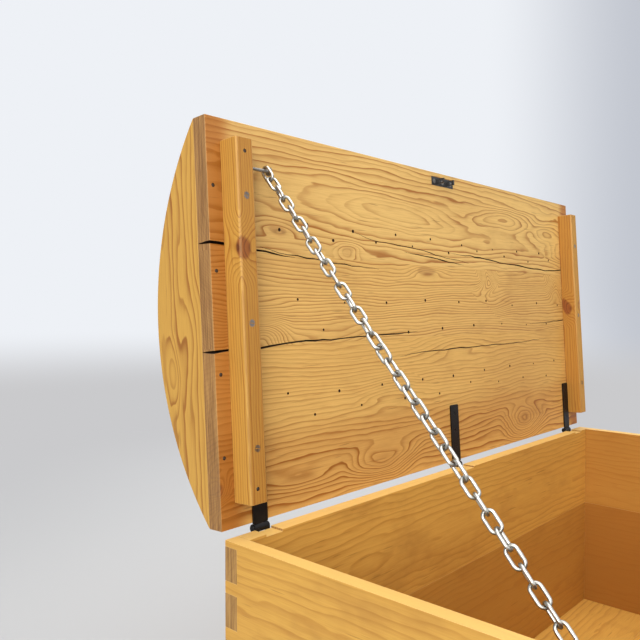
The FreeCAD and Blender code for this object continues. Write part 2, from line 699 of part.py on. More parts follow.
def build_handles():
    screws = []
    into = Vector(-1, 0, 0)
    plate = handle_plate_solid()
    for seat in handle_screw_seats():
        plate = plate.cut(screw_hole(seat, into))
        screws.append(flat_screw(seat, into, SCREW_LENGTH, SCREW_HEAD_RADIUS))
    bail = bail_solid()
    all_screws = []
    for name, turn in (("right", 0), ("left", 180)):
        for node, shape in (("handle_plate_", plate), ("handle_bail_", bail)):
            placed = shape.copy()
            placed.rotate(Vector(0, 0, 0), Vector(0, 0, 1), turn)
            save(node + name, placed)
        for screw in screws:
            placed = screw.copy()
            placed.rotate(Vector(0, 0, 0), Vector(0, 0, 1), turn)
            all_screws.append(placed)
    save("handle_screws", group(all_screws))


# Stay chain

def pan_screw(seat):
    """Long round-headed screw along X that the end link of the chain hangs on."""
    along = Vector(1, 0, 0)
    radius = CHAIN_SCREW_HEAD_RADIUS
    tall = CHAIN_SCREW_HEAD_HEIGHT
    shank = rod(CHAIN_SCREW_RADIUS, seat - along * CHAIN_SCREW_BITE, along * (CHAIN_SCREW_BITE + CHAIN_SCREW_REACH))
    base = seat + along * CHAIN_SCREW_REACH
    crown_rise = tall / 2
    ball_radius = (radius ** 2 + crown_rise ** 2) / (2 * crown_rise)
    ball = Part.makeSphere(ball_radius, base + along * (tall - ball_radius))
    head = rod(radius, base, along * tall).common(ball)
    return shank.fuse(head)


def chain_ends():
    """Points on the two screws' axes between which the chain is taut."""
    x_offset = CHAIN_SCREW_REACH - CHAIN_LINK_INSET
    lid_seat = Vector(-BATTEN_INNER_X, BATTEN_FRONT_Y + CHAIN_LID_SETBACK, AXIS_Z - BATTEN_THICKNESS / 2)
    wall_seat = Vector(-END_INNER_X, FRONT_INNER_Y + CHAIN_WALL_SETBACK, RIM_Z - CHAIN_WALL_DROP)
    reach = Vector(x_offset, 0, 0)
    upper = Part.Vertex(lid_seat + reach)
    return lid_seat, wall_seat, turned_open(upper).Point, wall_seat + reach


def chain_layout():
    """Link count, true pitch, start and direction of the taut chain."""
    lid_seat, wall_seat, upper, lower = chain_ends()
    span = (lower - upper).Length + 2 * CHAIN_SCREW_RADIUS + LINK_PLAY
    pairs = round((span / LINK_PITCH - 1) / 2)
    count = 2 * pairs + 1
    pitch = span / count
    direction = (lower - upper).normalize()
    first = upper + direction * ((pitch + LINK_PLAY) / 2 - CHAIN_SCREW_RADIUS - LINK_PLAY)
    return count, pitch, first, direction


def link_solid(pitch):
    """Welded oval link lying along X in the XZ plane, its wire drawn with flat sides."""
    bend = (LINK_INNER_WIDTH + LINK_WIRE) / 2
    straight = pitch + LINK_PLAY - LINK_INNER_WIDTH
    radius = LINK_WIRE / 2
    corners = []
    for number in range(LINK_SIDES):
        angle = 2 * math.pi * number / LINK_SIDES
        corners.append(Vector(straight / 2, radius * math.sin(angle), bend + radius * math.cos(angle)))
    section = Part.Face(Part.makePolygon(corners + corners[:1]))
    end = section.revolve(Vector(straight / 2, 0, 0), Vector(0, 1, 0), 180)
    side = section.extrude(Vector(-straight, 0, 0))
    half = end.fuse(side)
    other = half.copy()
    other.rotate(Vector(0, 0, 0), Vector(0, 1, 0), 180)
    return half.fuse(other).removeSplitter()


def chain_runs(count):
    """Names and link counts of the four runs that the chain folds into."""
    turns = TURN_UPPER_LINKS + TURN_LOWER_LINKS
    upper = (count - turns + UPPER_RUN_EXTRA_LINKS) // 2
    return (
        ("chain_upper", upper), ("chain_turn_upper", TURN_UPPER_LINKS),
        ("chain_turn_lower", TURN_LOWER_LINKS), ("chain_lower", count - upper - turns),
    )


def link_roll(number, count):
    """Turn of a link about the chain's line: square to the screws and folds, uneven between them."""
    runs = dict(chain_runs(count))
    fold_start = runs["chain_upper"] - 1
    fold_end = count - runs["chain_lower"]
    to_fold = max(fold_start - number, number - fold_end, 0)
    eased = min(1, min(number, count - 1 - number, to_fold) / LINK_ROLL_EASE)
    wave = LINK_ROLL_WAVE * math.sin(2 * math.pi * number / LINK_ROLL_PERIOD)
    return 90 * (number % 2) + eased * (LINK_ROLL + wave)


def build_chain():
    lid_seat, wall_seat, upper, lower = chain_ends()
    save_lid("chain_lid_screw", pan_screw(lid_seat))
    save("chain_wall_screw", pan_screw(wall_seat))
    count, pitch, first, direction = chain_layout()
    blank = link_solid(pitch)
    across = Vector(1, 0, 0)
    normal = across - direction * across.dot(direction)
    lay = FreeCAD.Rotation(direction, normal, Vector(0, 0, 0), "XYZ")
    links = []
    for number in range(count):
        roll = FreeCAD.Rotation(Vector(1, 0, 0), link_roll(number, count))
        link = blank.copy()
        link.Placement = FreeCAD.Placement(first + direction * (number * pitch), lay * roll)
        links.append(link)
    start = 0
    for name, length in chain_runs(count):
        save(name, group(links[start:start + length]))
        start += length


build_walls()
build_bottom()
build_plinth()
build_planks()
build_dome()
build_battens()
build_hinges()
build_link_plate()
build_lock_case()
build_lock_bolt()
build_lock_cover()
build_escutcheon()
build_handles()
build_chain()
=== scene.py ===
import json
import math
import random

import bmesh
import bpy
from mathutils import Matrix, Vector


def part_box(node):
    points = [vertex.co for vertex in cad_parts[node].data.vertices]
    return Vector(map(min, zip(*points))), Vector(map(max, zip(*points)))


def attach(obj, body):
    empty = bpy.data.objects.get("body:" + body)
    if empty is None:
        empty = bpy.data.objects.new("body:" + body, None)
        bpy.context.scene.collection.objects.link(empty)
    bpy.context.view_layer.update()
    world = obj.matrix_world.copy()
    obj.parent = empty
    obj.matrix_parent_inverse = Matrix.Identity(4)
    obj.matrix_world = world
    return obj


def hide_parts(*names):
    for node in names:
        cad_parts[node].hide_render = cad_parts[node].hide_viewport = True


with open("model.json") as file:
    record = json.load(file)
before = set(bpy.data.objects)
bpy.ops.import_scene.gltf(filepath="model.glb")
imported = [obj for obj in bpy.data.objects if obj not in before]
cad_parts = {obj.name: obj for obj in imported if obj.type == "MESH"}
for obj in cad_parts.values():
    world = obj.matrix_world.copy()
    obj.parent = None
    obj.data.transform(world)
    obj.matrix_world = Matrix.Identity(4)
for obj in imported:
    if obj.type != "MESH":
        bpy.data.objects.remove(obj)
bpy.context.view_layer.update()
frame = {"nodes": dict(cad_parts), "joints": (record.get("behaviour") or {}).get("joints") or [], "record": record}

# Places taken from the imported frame, in metres.
JOINTS = {joint["name"]: joint for joint in frame["joints"]}
HINGE_AXIS = Vector(JOINTS["lid_hinge"]["pos_m"])
OPEN_ANGLE = math.radians(JOINTS["lid_hinge"]["range_deg"][1])
LID_OPENED = (
    Matrix.Translation(HINGE_AXIS)
    @ Matrix.Rotation(-OPEN_ANGLE, 4, "X")
    @ Matrix.Translation(-HINGE_AXIS)
)
LID_CLOSED = LID_OPENED.inverted()
BODIES = frame["record"]["behaviour"]["bodies"]
BODY_OF = {node: body for body, nodes in BODIES.items() for node in nodes}
SLOT_OF = {part["node"]: part["material_slot"] for part in frame["record"]["subparts"]}
DOWN = Vector((0, 0, -1))
LID_UNDER = (LID_OPENED.to_3x3() @ DOWN).normalized()
LID_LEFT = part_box("lid_plank_front")[0].x


# Node building

class Graph:
    """Short calls for adding and wiring nodes in one node tree."""

    def __init__(self, tree):
        self.tree = tree

    def add(self, kind, inputs=(), **settings):
        node = self.tree.nodes.new(kind)
        for key, value in settings.items():
            setattr(node, key, value)
        for key, value in dict(inputs).items():
            self.feed(node.inputs[key], value)
        return node

    def shape(self, kind, **values):
        """A geometry node's first output; names with a capital are inputs, others settings."""
        inputs = {key.replace("_", " "): values[key] for key in values if key[0].isupper()}
        settings = {key: values[key] for key in values if key[0].islower()}
        return self.add("GeometryNode" + kind, inputs, **settings).outputs[0]

    def feed(self, socket, value):
        if isinstance(value, bpy.types.NodeSocket):
            self.tree.links.new(value, socket)
        else:
            socket.default_value = value

    def math(self, operation, first, second=0.0, third=0.0, clamp=False):
        inputs = {0: first, 1: second, 2: third}
        kind = "ShaderNodeMath"
        return self.add(kind, inputs, operation=operation, use_clamp=clamp).outputs[0]

    def times(self, first, second, clamp=False):
        return self.math("MULTIPLY", first, second, clamp=clamp)

    def vector(self, operation, first, second=(0, 0, 0)):
        inputs = {0: first, 1: second}
        return self.add("ShaderNodeVectorMath", inputs, operation=operation).outputs[0]

    def scaled(self, vector, scale):
        inputs = {0: vector, "Scale": scale}
        return self.add("ShaderNodeVectorMath", inputs, operation="SCALE").outputs[0]

    def length(self, vector):
        return self.add("ShaderNodeVectorMath", {0: vector}, operation="LENGTH").outputs["Value"]

    def axes(self, vector):
        return self.add("ShaderNodeSeparateXYZ", {"Vector": vector}).outputs

    def upward(self, height):
        return self.add("ShaderNodeCombineXYZ", {"Z": height}).outputs[0]

    def attribute(self, name, output="Fac"):
        return self.add("ShaderNodeAttribute", attribute_name=name).outputs[output]

    def object_place(self):
        return self.add("ShaderNodeTexCoord").outputs["Object"]

    def noise(self, vector, scale=1.0, detail=2.0, roughness=0.5, distortion=0.0):
        inputs = {
            "Vector": vector, "Scale": scale, "Detail": detail,
            "Roughness": roughness, "Distortion": distortion,
        }
        return self.add("ShaderNodeTexNoise", inputs).outputs["Fac"]

    def spread(self, value, low, high, to_low=0.0, to_high=1.0):
        inputs = {
            "Value": value, "From Min": low, "From Max": high,
            "To Min": to_low, "To Max": to_high,
        }
        return self.add("ShaderNodeMapRange", inputs, interpolation_type="SMOOTHSTEP").outputs[0]

    def ramp(self, value, stops):
        node = self.add("ShaderNodeValToRGB", {"Fac": value})
        elements = node.color_ramp.elements
        while len(elements) < len(stops):
            elements.new(0.5)
        for element, (place, level) in zip(elements, stops):
            element.position = place
            element.color = (level, level, level, 1)
        return node.outputs["Color"]

    def tint(self, share, first, second):
        inputs = {"Factor": share, 6: first, 7: second}
        return self.add("ShaderNodeMix", inputs, data_type="RGBA").outputs[2]

    def seen(self):
        """1 on rays that look, in polished metal too, and 0 on rays that light."""
        path = self.add("ShaderNodeLightPath").outputs
        looked = self.math("ADD", path["Is Camera Ray"], path["Is Glossy Ray"])
        return self.math("ADD", looked, path["Is Transmission Ray"], clamp=True)


def srgb(red, green, blue):
    """Colour of 0 to 255 as written on screen, for a colour socket."""
    levels = [level / 255 for level in (red, green, blue)]
    linear = [v / 12.92 if v <= 0.04045 else ((v + 0.055) / 1.055) ** 2.4 for v in levels]
    return (*linear, 1)


def finish_material(name):
    material = bpy.data.materials.new(name)
    material.use_nodes = True
    material.node_tree.nodes.clear()
    graph = Graph(material.node_tree)
    shader = graph.add("ShaderNodeBsdfPrincipled")
    output = graph.add("ShaderNodeOutputMaterial")
    material.node_tree.links.new(shader.outputs[0], output.inputs["Surface"])
    return material, graph, shader


def dress(graph, shader, colour, rough, specular, relief):
    """Wire up the colour, polish and fine relief of a finish."""
    graph.feed(shader.inputs["Base Color"], colour)
    graph.feed(shader.inputs["Roughness"], rough)
    shader.inputs["Specular IOR Level"].default_value = specular
    bump = graph.add("ShaderNodeBump", relief)
    graph.feed(shader.inputs["Normal"], bump.outputs["Normal"])


def linked(name, data):
    """New object in the scene's own collection."""
    made = bpy.data.objects.new(name, data)
    bpy.context.scene.collection.objects.link(made)
    return made


def plain_mesh(name, work):
    """Mesh of working geometry, which is used up."""
    mesh = bpy.data.meshes.new(name)
    work.to_mesh(mesh)
    work.free()
    return mesh


# Pine

GRAIN = "grain"
ARRIS = "arris"
END_GRAIN = "end_grain"
# Face attribute of board tone, which also carries painted shade on sides and painted light on the rim's top.
TONE_AND_PAINTED_SHADING = "tone"
# Noises: scale along, across and through the grain, detail, roughness, and then the part of the
# noise that shows and how strongly.
RIPPLE = ((11, 46, 46), 2.0, 0.5)
FIBRE = ((22, 620, 620), 2.0, 0.6)
FIBRE_COVER = (0.35, 0.75, 0.0, 0.2)
DRIFT = ((1.3, 4.5, 4.5), 2.0, 0.5, 0.35, 0.75, 0.3)
FLECK = ((16, 330, 330), 1.0, 0.5, 0.7, 0.78, 0.4)
SOIL = ((5, 9, 9), 4.0, 0.65, 0.5, 0.8)
SAW_STREAK = ((60, 16, 800), 4.0, 0.65, 0.35, 0.65, 1.0)
SAW_PATCH = ((60, 22, 60), 3.0, 0.6, 0.45, 0.75, 0.5)
# Bends of the rings around knots and eyes.
SWAY_SCALE = (4, 14, 14)
SWAY_REACH = (0.1, 0.035, 0.035)
SWIRL_NOISE = (2.0, 0.45, 0.5)
KNOT_SCALE, KNOT_SHARE, KNOT_REACH = (2.1, 6.5, 2.0), 0.22, 0.42
EYE_SCALE, EYE_SHARE, EYE_REACH = (4.2, 11.0, 5.0), 0.4, 0.5
CORE_SPAN = (0.03, 0.1)
PLACED_CORE_SPAN = (0.25, 0.37)
RIPPLE_RINGS = 1.5
KNOT_RINGS = 5
EYE_PULL = -0.35
# Latewood: its rise through a year, the spread of years, and its loss where rings lie flat.
SEASON_STOPS = ((0.0, 0.0), (0.4, 0.07), (0.66, 0.36), (0.86, 1.0), (0.94, 0.95), (1.0, 0.0))
YEAR_SPREAD = 0.6
SLOPE_STEP = 0.004
STEEP_SLOPE = 0.35
FLAT_SHARE = 0.4
# Darker ends of the lid outside its battens, and heartwood on one side of a plank.
MARGIN_SPAN = (0.492, 0.524)
MARGIN_SHARE = 0.8
MARGIN_GAIN = 1.4
HEARTWOOD = srgb(186, 112, 38)
HEART_SHARE = 0.3
HEART_STRAY = 0.09
SAP_SHARE = 0.64
HEART_GAIN = 1.25
# Colours that are mixed in, with their shares.
RESIN, RESIN_SHARE = srgb(84, 36, 12), 0.7
KNOT_EARLY, KNOT_LATE, KNOT_COVER = srgb(146, 80, 34), srgb(92, 42, 16), 0.95
OLD_SOIL, OLD_SOIL_SHARE = srgb(136, 92, 46), 0.5
# Darkening for darker boards, which also carries painted shade on sides of boards.
AGED_AND_SHADED_SHARE = 0.25
# Painted light on the top of the rim.
RIM_PAINTED_LIGHT_COLOUR, RIM_PAINTED_LIGHT_SHARE = srgb(255, 224, 150), 0.35
SAWN_PALE, SAWN_DARK, SAWN_COVER = srgb(180, 138, 82), srgb(112, 78, 42), 0.85
SAWN_PATCH = srgb(134, 92, 54)
SAWN_RINGS, SAWN_RING_SHARE = srgb(112, 76, 44), 0.25
WORN, WORN_SHARE, WORN_COVER = srgb(250, 226, 176), 0.4, 0.14
# Surface
PINE_ROUGHNESS = 0.52
LATE_ROUGHNESS = -0.1
FIBRE_ROUGHNESS = 0.12
FIBRE_HEIGHT, LATE_HEIGHT, FLECK_HEIGHT = 0.5, 0.6, -0.8
PINE_RELIEF = {"Strength": 0.35, "Distance": 0.0006}
PINE_SPECULAR = 0.35


def pine(name, early, late, ring, figure, swirl, strength, knots=1.0, grime=0.3,
         end_bands=0.0, placed_eyes=(), heart=None):
    """Sawn pine in log coordinates: x along the trunk of the tree, rings around it."""
    material, graph, shader = finish_material(name)
    place = graph.attribute(GRAIN, "Vector")
    board_tone = graph.attribute(TONE_AND_PAINTED_SHADING)
    across, through = graph.axes(place)[1:3]

    def stretched(scale, detail, roughness):
        return graph.noise(graph.vector("MULTIPLY", place, scale), 1.0, detail, roughness)

    def patchy(scale, detail, roughness, low, high, share):
        return graph.spread(stretched(scale, detail, roughness), low, high, 0.0, share)

    def drawn(position):
        """Slow drift of the rings at a position."""
        vector = graph.vector("MULTIPLY", position, swirl)
        return graph.math("SUBTRACT", graph.noise(vector, 1.0, *SWIRL_NOISE), 0.5)

    sway = {"Vector": graph.vector("MULTIPLY", place, SWAY_SCALE), "Scale": 1.0}
    sway = graph.add("ShaderNodeTexNoise", sway).outputs["Color"]
    sway = graph.vector("SUBTRACT", sway, (0.5, 0.5, 0.5))
    bent = graph.vector("ADD", place, graph.vector("MULTIPLY", sway, SWAY_REACH))

    def eyes(scale, share, reach):
        """Closeness to chosen scattered points, and how near the very middle of one is."""
        cell = {"Vector": graph.vector("MULTIPLY", bent, scale), "Scale": 1.0}
        cell = graph.add("ShaderNodeTexVoronoi", cell).outputs
        pick = graph.add("ShaderNodeSeparateColor", {"Color": cell["Color"]}).outputs[0]
        chosen = graph.math("LESS_THAN", pick, share)
        near = graph.spread(cell["Distance"], 0.0, reach, 1.0, 0.0)
        core = graph.spread(cell["Distance"], *CORE_SPAN, 1.0, 0.0)
        return graph.times(near, chosen), graph.times(core, chosen)

    knot_near, knot_core = eyes(KNOT_SCALE, KNOT_SHARE * knots, KNOT_REACH)
    eye_near = eyes(EYE_SCALE, EYE_SHARE, EYE_REACH)[0]
    wander = drawn(place)
    beside = drawn(graph.vector("ADD", place, (0, SLOPE_STEP, 0)))
    ripple = graph.math("SUBTRACT", stretched(*RIPPLE), 0.5)
    square = graph.math("ADD", graph.math("POWER", across, 2.0), graph.math("POWER", through, 2.0))
    radius = graph.math("SQRT", square)
    drift_slope = graph.times(graph.math("SUBTRACT", beside, wander), figure / SLOPE_STEP)
    slope = graph.math("ADD", graph.math("DIVIDE", across, radius), drift_slope)
    crispness = graph.spread(graph.math("ABSOLUTE", slope), 0.0, STEEP_SLOPE, FLAT_SHARE, 1.0)
    shifts = (
        (wander, figure), (ripple, ring * RIPPLE_RINGS),
        (knot_near, ring * KNOT_RINGS), (eye_near, figure * EYE_PULL),
    )
    for shift, reach in shifts:
        radius = graph.math("MULTIPLY_ADD", shift, reach, radius)
    for centre, reach, rings, darkness in placed_eyes:
        away = graph.vector("DIVIDE", graph.vector("SUBTRACT", bent, centre), reach)
        distance = graph.length(away)
        near = graph.spread(distance, 0.0, 1.0, 1.0, 0.0)
        radius = graph.math("MULTIPLY_ADD", near, ring * rings, radius)
        if darkness:
            core = graph.spread(distance, *PLACED_CORE_SPAN, darkness, 0.0)
            knot_core = graph.math("MAXIMUM", knot_core, core)
    phase = graph.math("DIVIDE", radius, ring)
    season_tone = graph.ramp(graph.math("FRACT", phase), SEASON_STOPS)
    year = {"W": graph.math("FLOOR", phase)}
    year = graph.add("ShaderNodeTexWhiteNoise", year, noise_dimensions="1D").outputs["Value"]
    year_strength = graph.math("MULTIPLY_ADD", year, YEAR_SPREAD, 1 - YEAR_SPREAD)
    late_share = graph.times(season_tone, graph.times(year_strength, strength))
    late_share = graph.times(late_share, crispness)

    ground = early
    if end_bands:
        sideways = graph.axes(graph.object_place())[0]
        margin = graph.spread(graph.math("ABSOLUTE", sideways), *MARGIN_SPAN)
        late_share = graph.math("MULTIPLY_ADD", margin, end_bands, late_share)
        gain = graph.spread(margin, 0.0, 1.0, 1.0, MARGIN_GAIN)
        late_share = graph.times(late_share, gain, clamp=True)
        ground = graph.tint(graph.times(margin, MARGIN_SHARE), early, HEARTWOOD)
    if heart:
        side = graph.spread(graph.math("MULTIPLY_ADD", wander, HEART_STRAY, across), *heart)
        late_share = graph.times(late_share, graph.spread(side, 0.0, 1.0, SAP_SHARE, HEART_GAIN))
        ground = graph.tint(side, ground, graph.tint(HEART_SHARE, ground, HEARTWOOD))
    fibre = stretched(*FIBRE)
    fleck = patchy(*FLECK)
    dark = graph.tint(RESIN_SHARE, late, RESIN)
    sawn = graph.tint(patchy(*SAW_STREAK), SAWN_PALE, SAWN_DARK)
    sawn = graph.tint(patchy(*SAW_PATCH), sawn, SAWN_PATCH)
    sawn = graph.tint(graph.times(late_share, SAWN_RING_SHARE), sawn, SAWN_RINGS)
    coats = (
        (late_share, late),
        (patchy(*DRIFT), late),
        (graph.spread(fibre, *FIBRE_COVER), late),
        (fleck, dark),
        (graph.times(knot_core, KNOT_COVER), graph.tint(season_tone, KNOT_EARLY, KNOT_LATE)),
        (patchy(*SOIL, grime), graph.tint(OLD_SOIL_SHARE, late, OLD_SOIL)),
        # Board tone toward dark, which also carries painted shade on sides; a negative tone is painted light on
        # the rim's top.
        (graph.math("MAXIMUM", board_tone, 0.0), graph.tint(AGED_AND_SHADED_SHARE, late, dark)),
        (graph.times(board_tone, -1.0, clamp=True), graph.tint(RIM_PAINTED_LIGHT_SHARE, early, RIM_PAINTED_LIGHT_COLOUR)),
        (graph.times(graph.attribute(END_GRAIN), SAWN_COVER), sawn),
        (graph.times(graph.attribute(ARRIS), WORN_COVER), graph.tint(WORN_SHARE, early, WORN)),
    )
    colour = ground
    for share, coat in coats:
        colour = graph.tint(share, colour, coat)
    rough = graph.math("MULTIPLY_ADD", late_share, LATE_ROUGHNESS, PINE_ROUGHNESS)
    rough = graph.math("MULTIPLY_ADD", fibre, FIBRE_ROUGHNESS, rough)
    height = graph.times(late_share, LATE_HEIGHT)
    height = graph.math("MULTIPLY_ADD", fibre, FIBRE_HEIGHT, height)
    height = graph.math("MULTIPLY_ADD", fleck, FLECK_HEIGHT, height)
    dress(graph, shader, colour, rough, PINE_SPECULAR, {**PINE_RELIEF, "Height": height})
    return material


# Place of each board in its log: along it, across it and out from the pith, in metres.
BOARD_LOGS = {
    "lid_plank_front": (3.1, -0.008, 0.0895), "lid_plank_middle": (7.7, 0.124, 0.07),
    "lid_plank_back": (12.4, -0.15, 0.075), "lid_end_board_left": (31.0, -0.036, 0.09),
    "lid_batten_left": (21.0, 0.06, 0.05), "lid_batten_right": (26.0, -0.05, 0.06),
}
# Range of places for all other boards; the one across is a share of the width.
LOG_ALONG = (0, 40)
LOG_ACROSS = (-0.35, 0.35)
LOG_DEPTH = (0.03, 0.09)
# Darker boards, as a share from their own colour to that of their latewood.
BOARD_TONES = {
    "back_upper_board": 0.0, "back_lower_board": 0.25, "lid_end_board_left": 0.0,
    "lid_plank_front": 0.0, "lid_plank_middle": 0.0, "lid_plank_back": 0.04,
    "lid_batten_left": 0.0, "lid_batten_right": 0.3,
}
PLAIN_TONES = (0.0, 0.16)
STAVE_TONES = (0.0, 0.34)
# Sides that differ from the rest of their board by painted shade, by the way they face, as a share toward its
# latewood; the rim's top gets painted light.
PAINTED_SIDE_SHADES = {
    "right_upper_board": ((-1, 0, 0), 0.6), "right_lower_board": ((-1, 0, 0), 0.82),
    "back_upper_board": ((0, -1, 0), 0.02), "back_lower_board": ((0, -1, 0), 0.5),
    "lid_batten_left": ((0, 0, -1), 0.32), "lid_batten_right": ((0, 0, -1), 0.0),
}
RIM_PAINTED_LIGHT = -0.7
SIDE_LIMIT = 0.6
END_LIMIT = 0.8
# Eyes in the lid's figure: place along the lid and out from the hinges, half length,
# half width, rings, darkness.
LID_EYES = {
    "lid_plank_back": (
        (0.815, 0.048, 0.12, 0.05, 8.0, 0.12), (0.332, 0.042, 0.12, 0.046, 6.5, 0.1),
        (0.557, 0.218, 0.17, 0.04, -3.0, 0.0), (0.004, 0.059, 0.03, 0.035, 5.0, 0.8),
        (0.140, 0.049, 0.1, 0.03, 2.0, 0.12),
    ),
    "lid_plank_middle": (
        (0.686, 0.350, 0.05, 0.06, 9.0, 0.0), (0.986, 0.340, 0.055, 0.055, 7.0, 0.0),
        (0.086, 0.246, 0.075, 0.045, 6.0, 0.0), (0.487, 0.352, 0.1, 0.02, 3.0, 0.35),
    ),
    "lid_plank_front": (
        (0.277, 0.373, 0.05, 0.02, 3.0, 0.2), (0.400, 0.440, 0.26, 0.04, -4.0, 0.0),
        (0.760, 0.470, 0.2, 0.036, -4.0, 0.0), (0.120, 0.395, 0.06, 0.016, 2.0, 0.35),
        (0.960, 0.450, 0.09, 0.03, -3.0, 0.1),
    ),
}
LID_EYE_DEPTH = 0.06


def in_log(node, along, across, through):
    """Place in a board's log, from the board's middle and its lower face."""
    return tuple(own + base for own, base in zip((along, across, through), BOARD_LOGS[node]))


def lid_eye_places(plank):
    """The eyes of a plank in the coordinates of its log."""
    ends = [LID_CLOSED @ Vector((0, corner.y, corner.z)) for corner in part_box(plank)]
    middle = (ends[0].y + ends[1].y) / 2
    places = []
    for along, out, half_length, half_width, rings, darkness in LID_EYES[plank]:
        centre = in_log(plank, LID_LEFT + along, HINGE_AXIS.y - out - middle, 0.0)
        places.append((centre, (half_length, half_width, LID_EYE_DEPTH), rings, darkness))
    return places


DOME_EYES = (
    (in_log("lid_end_board_left", 0.058, 0.0165, 0.0), (0.07, 0.02, 0.03), -2.5, 0.0),
    (in_log("lid_end_board_left", -0.184, 0.025, 0.0), (0.1, 0.02, 0.03), -2.0, 0.0),
)
BATTEN_KNOTS = (
    (in_log("lid_batten_left", -0.0927, -0.014, 0.005), (0.052, 0.04, 0.04), 6.0, 1.0),
    (in_log("lid_batten_right", -0.012, 0.004, 0.001), (0.044, 0.034, 0.034), 6.0, 1.0),
)
# Width of a ring, colour of the earlywood, and where heartwood begins across the log.
LID_COATS = {
    "lid_plank_front": (0.006, srgb(230, 190, 113), None),
    "lid_plank_middle": (0.0044, srgb(226, 183, 105), None),
    "lid_plank_back": (0.0066, srgb(231, 187, 105), (-0.165, -0.12)),
}
LID_LATE = srgb(156, 94, 28)


def lid_pine(plank):
    ring, early, heart = LID_COATS[plank]
    return pine(
        plank + "_pine", early, LID_LATE, ring, figure=0.05, swirl=(1.9, 9.0, 9.0), strength=1.0,
        knots=0.0, end_bands=0.25, placed_eyes=lid_eye_places(plank), heart=heart,
    )


LID_PINES = {plank: lid_pine(plank) for plank in LID_COATS}
BATTEN_PINE = pine(
    "batten_pine", srgb(207, 156, 68), srgb(148, 86, 24), ring=0.0036, figure=0.014,
    swirl=(1.5, 12, 12), strength=1.0, knots=0.0, placed_eyes=BATTEN_KNOTS,
)
DOME_PINE = pine(
    "dome_pine", srgb(206, 158, 73), srgb(152, 95, 32), ring=0.006, figure=0.05,
    swirl=(1.6, 8, 8), strength=1.05, placed_eyes=DOME_EYES,
)
WALL_PINE = pine(
    "wall_pine", srgb(218, 168, 78), srgb(168, 108, 36), ring=0.009, figure=0.03,
    swirl=(1.2, 6, 6), strength=0.55, grime=0.55,
)
PLINTH_PINE = pine(
    "plinth_pine", srgb(206, 155, 74), srgb(156, 98, 34), ring=0.007, figure=0.04,
    swirl=(1.6, 8, 8), strength=0.7,
)
# Near-black inside splits and nail holes: old dirt and painted shade.
SPLIT_DIRT_AND_SHADE_NOISE, SPLIT_DIRT_AND_SHADE_SPAN = (220, 3.0, 0.6), (0.3, 0.75)
SPLIT_DIRT_AND_SHADE_DARK, SPLIT_DIRT_AND_SHADE_PALE = srgb(44, 25, 12), srgb(84, 52, 25)
DIRT_ROUGHNESS = 0.9


def split_material():
    """Near-black deep in splits and nail holes: old dirt and painted shade."""
    material, graph, shader = finish_material("split_dirt_and_shade")
    share = graph.spread(graph.noise(graph.object_place(), *SPLIT_DIRT_AND_SHADE_NOISE), *SPLIT_DIRT_AND_SHADE_SPAN)
    graph.feed(shader.inputs["Base Color"], graph.tint(share, SPLIT_DIRT_AND_SHADE_DARK, SPLIT_DIRT_AND_SHADE_PALE))
    shader.inputs["Roughness"].default_value = DIRT_ROUGHNESS
    return material


SPLIT_DIRT_AND_SHADE = split_material()


# Boards

BOARD_SEED = 11
PLANK_JOINTS = (0.2335, 0.3575)
JOINT_LIMIT = 1e-4
BOARD_CREASE = 30
BOARD_ARRIS = 20
ARRIS_WIDTHS = (
    ("lid_plank", 0.0008), ("lid_batten", 0.0012), ("lid_stave", 0.0016), ("lid_", 0.0007),
    ("plinth", 0.0010), ("", 0.0006),
)
WOOD_FINISHES = (
    *LID_PINES.items(), ("lid_batten", BATTEN_PINE), ("lid_", DOME_PINE),
    ("plinth", PLINTH_PINE), ("bottom", WALL_PINE), ("_board", WALL_PINE),
)
GRAIN_ACROSS_NODES = (
    "left_", "right_", "plinth_left", "plinth_right", "lid_end", "lid_batten", "lid_rib",
)
MERGE_DISTANCE = 1e-6
MERGE_ANGLE = 0.5


def grain_axes(node, size):
    """Axes along the grain, across the board and through it."""
    along = 1 if node.startswith(GRAIN_ACROSS_NODES) else 0
    others = sorted((axis for axis in range(3) if axis != along), key=lambda axis: size[axis])
    return along, others[1], others[0]


def merged_copy(node):
    """Mesh of a node with its triangles joined up and flat faces made whole."""
    work = bmesh.new()
    work.from_mesh(frame["nodes"][node].data)
    bmesh.ops.remove_doubles(work, verts=work.verts, dist=MERGE_DISTANCE)
    bmesh.ops.dissolve_limit(
        work, angle_limit=math.radians(MERGE_ANGLE),
        verts=work.verts, edges=work.edges, delimit={"NORMAL"},
    )
    return work


def soften(work, width, least_angle, keep=()):
    """Round off the arrises, and mark the new faces as worn."""
    worn = work.faces.layers.float.new(ARRIS)
    least = math.radians(least_angle)
    sharp = [
        edge for edge in work.edges
        if edge not in keep and len(edge.link_faces) == 2 and edge.calc_face_angle(0) > least
    ]
    made = bmesh.ops.bevel(
        work, geom=sharp, offset=width, offset_type="OFFSET", segments=2,
        profile=0.5, affect="EDGES", clamp_overlap=True,
    )
    for face in made["faces"]:
        face[worn] = 1.0


def crease(work, least_angle):
    """Shade curves smooth, and keep flat faces flat beside their worn arrises."""
    worn = work.faces.layers.float.get(ARRIS)
    least = math.radians(least_angle)
    for face in work.faces:
        face.smooth = True
    for edge in work.edges:
        sides = edge.link_faces
        worn_side = len(sides) == 2 and sides[0][worn] != sides[1][worn]
        edge.smooth = not worn_side and edge.calc_face_angle(0) < least


def new_piece(name, mesh, body, materials=(), node=None):
    piece = linked(name, mesh)
    for material in materials:
        mesh.materials.append(material)
    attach(piece, body)
    if node:
        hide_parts(node)


def touching_edges(work, node):
    """Edges of a lid plank that lie against the next plank, which stay sharp."""
    if "lid_plank" not in node:
        return set()

    def lies_at(edge, out):
        return all(abs(HINGE_AXIS.y - vertex.co.y - out) < JOINT_LIMIT for vertex in edge.verts)

    return {edge for edge in work.edges if any(lies_at(edge, out) for out in PLANK_JOINTS)}


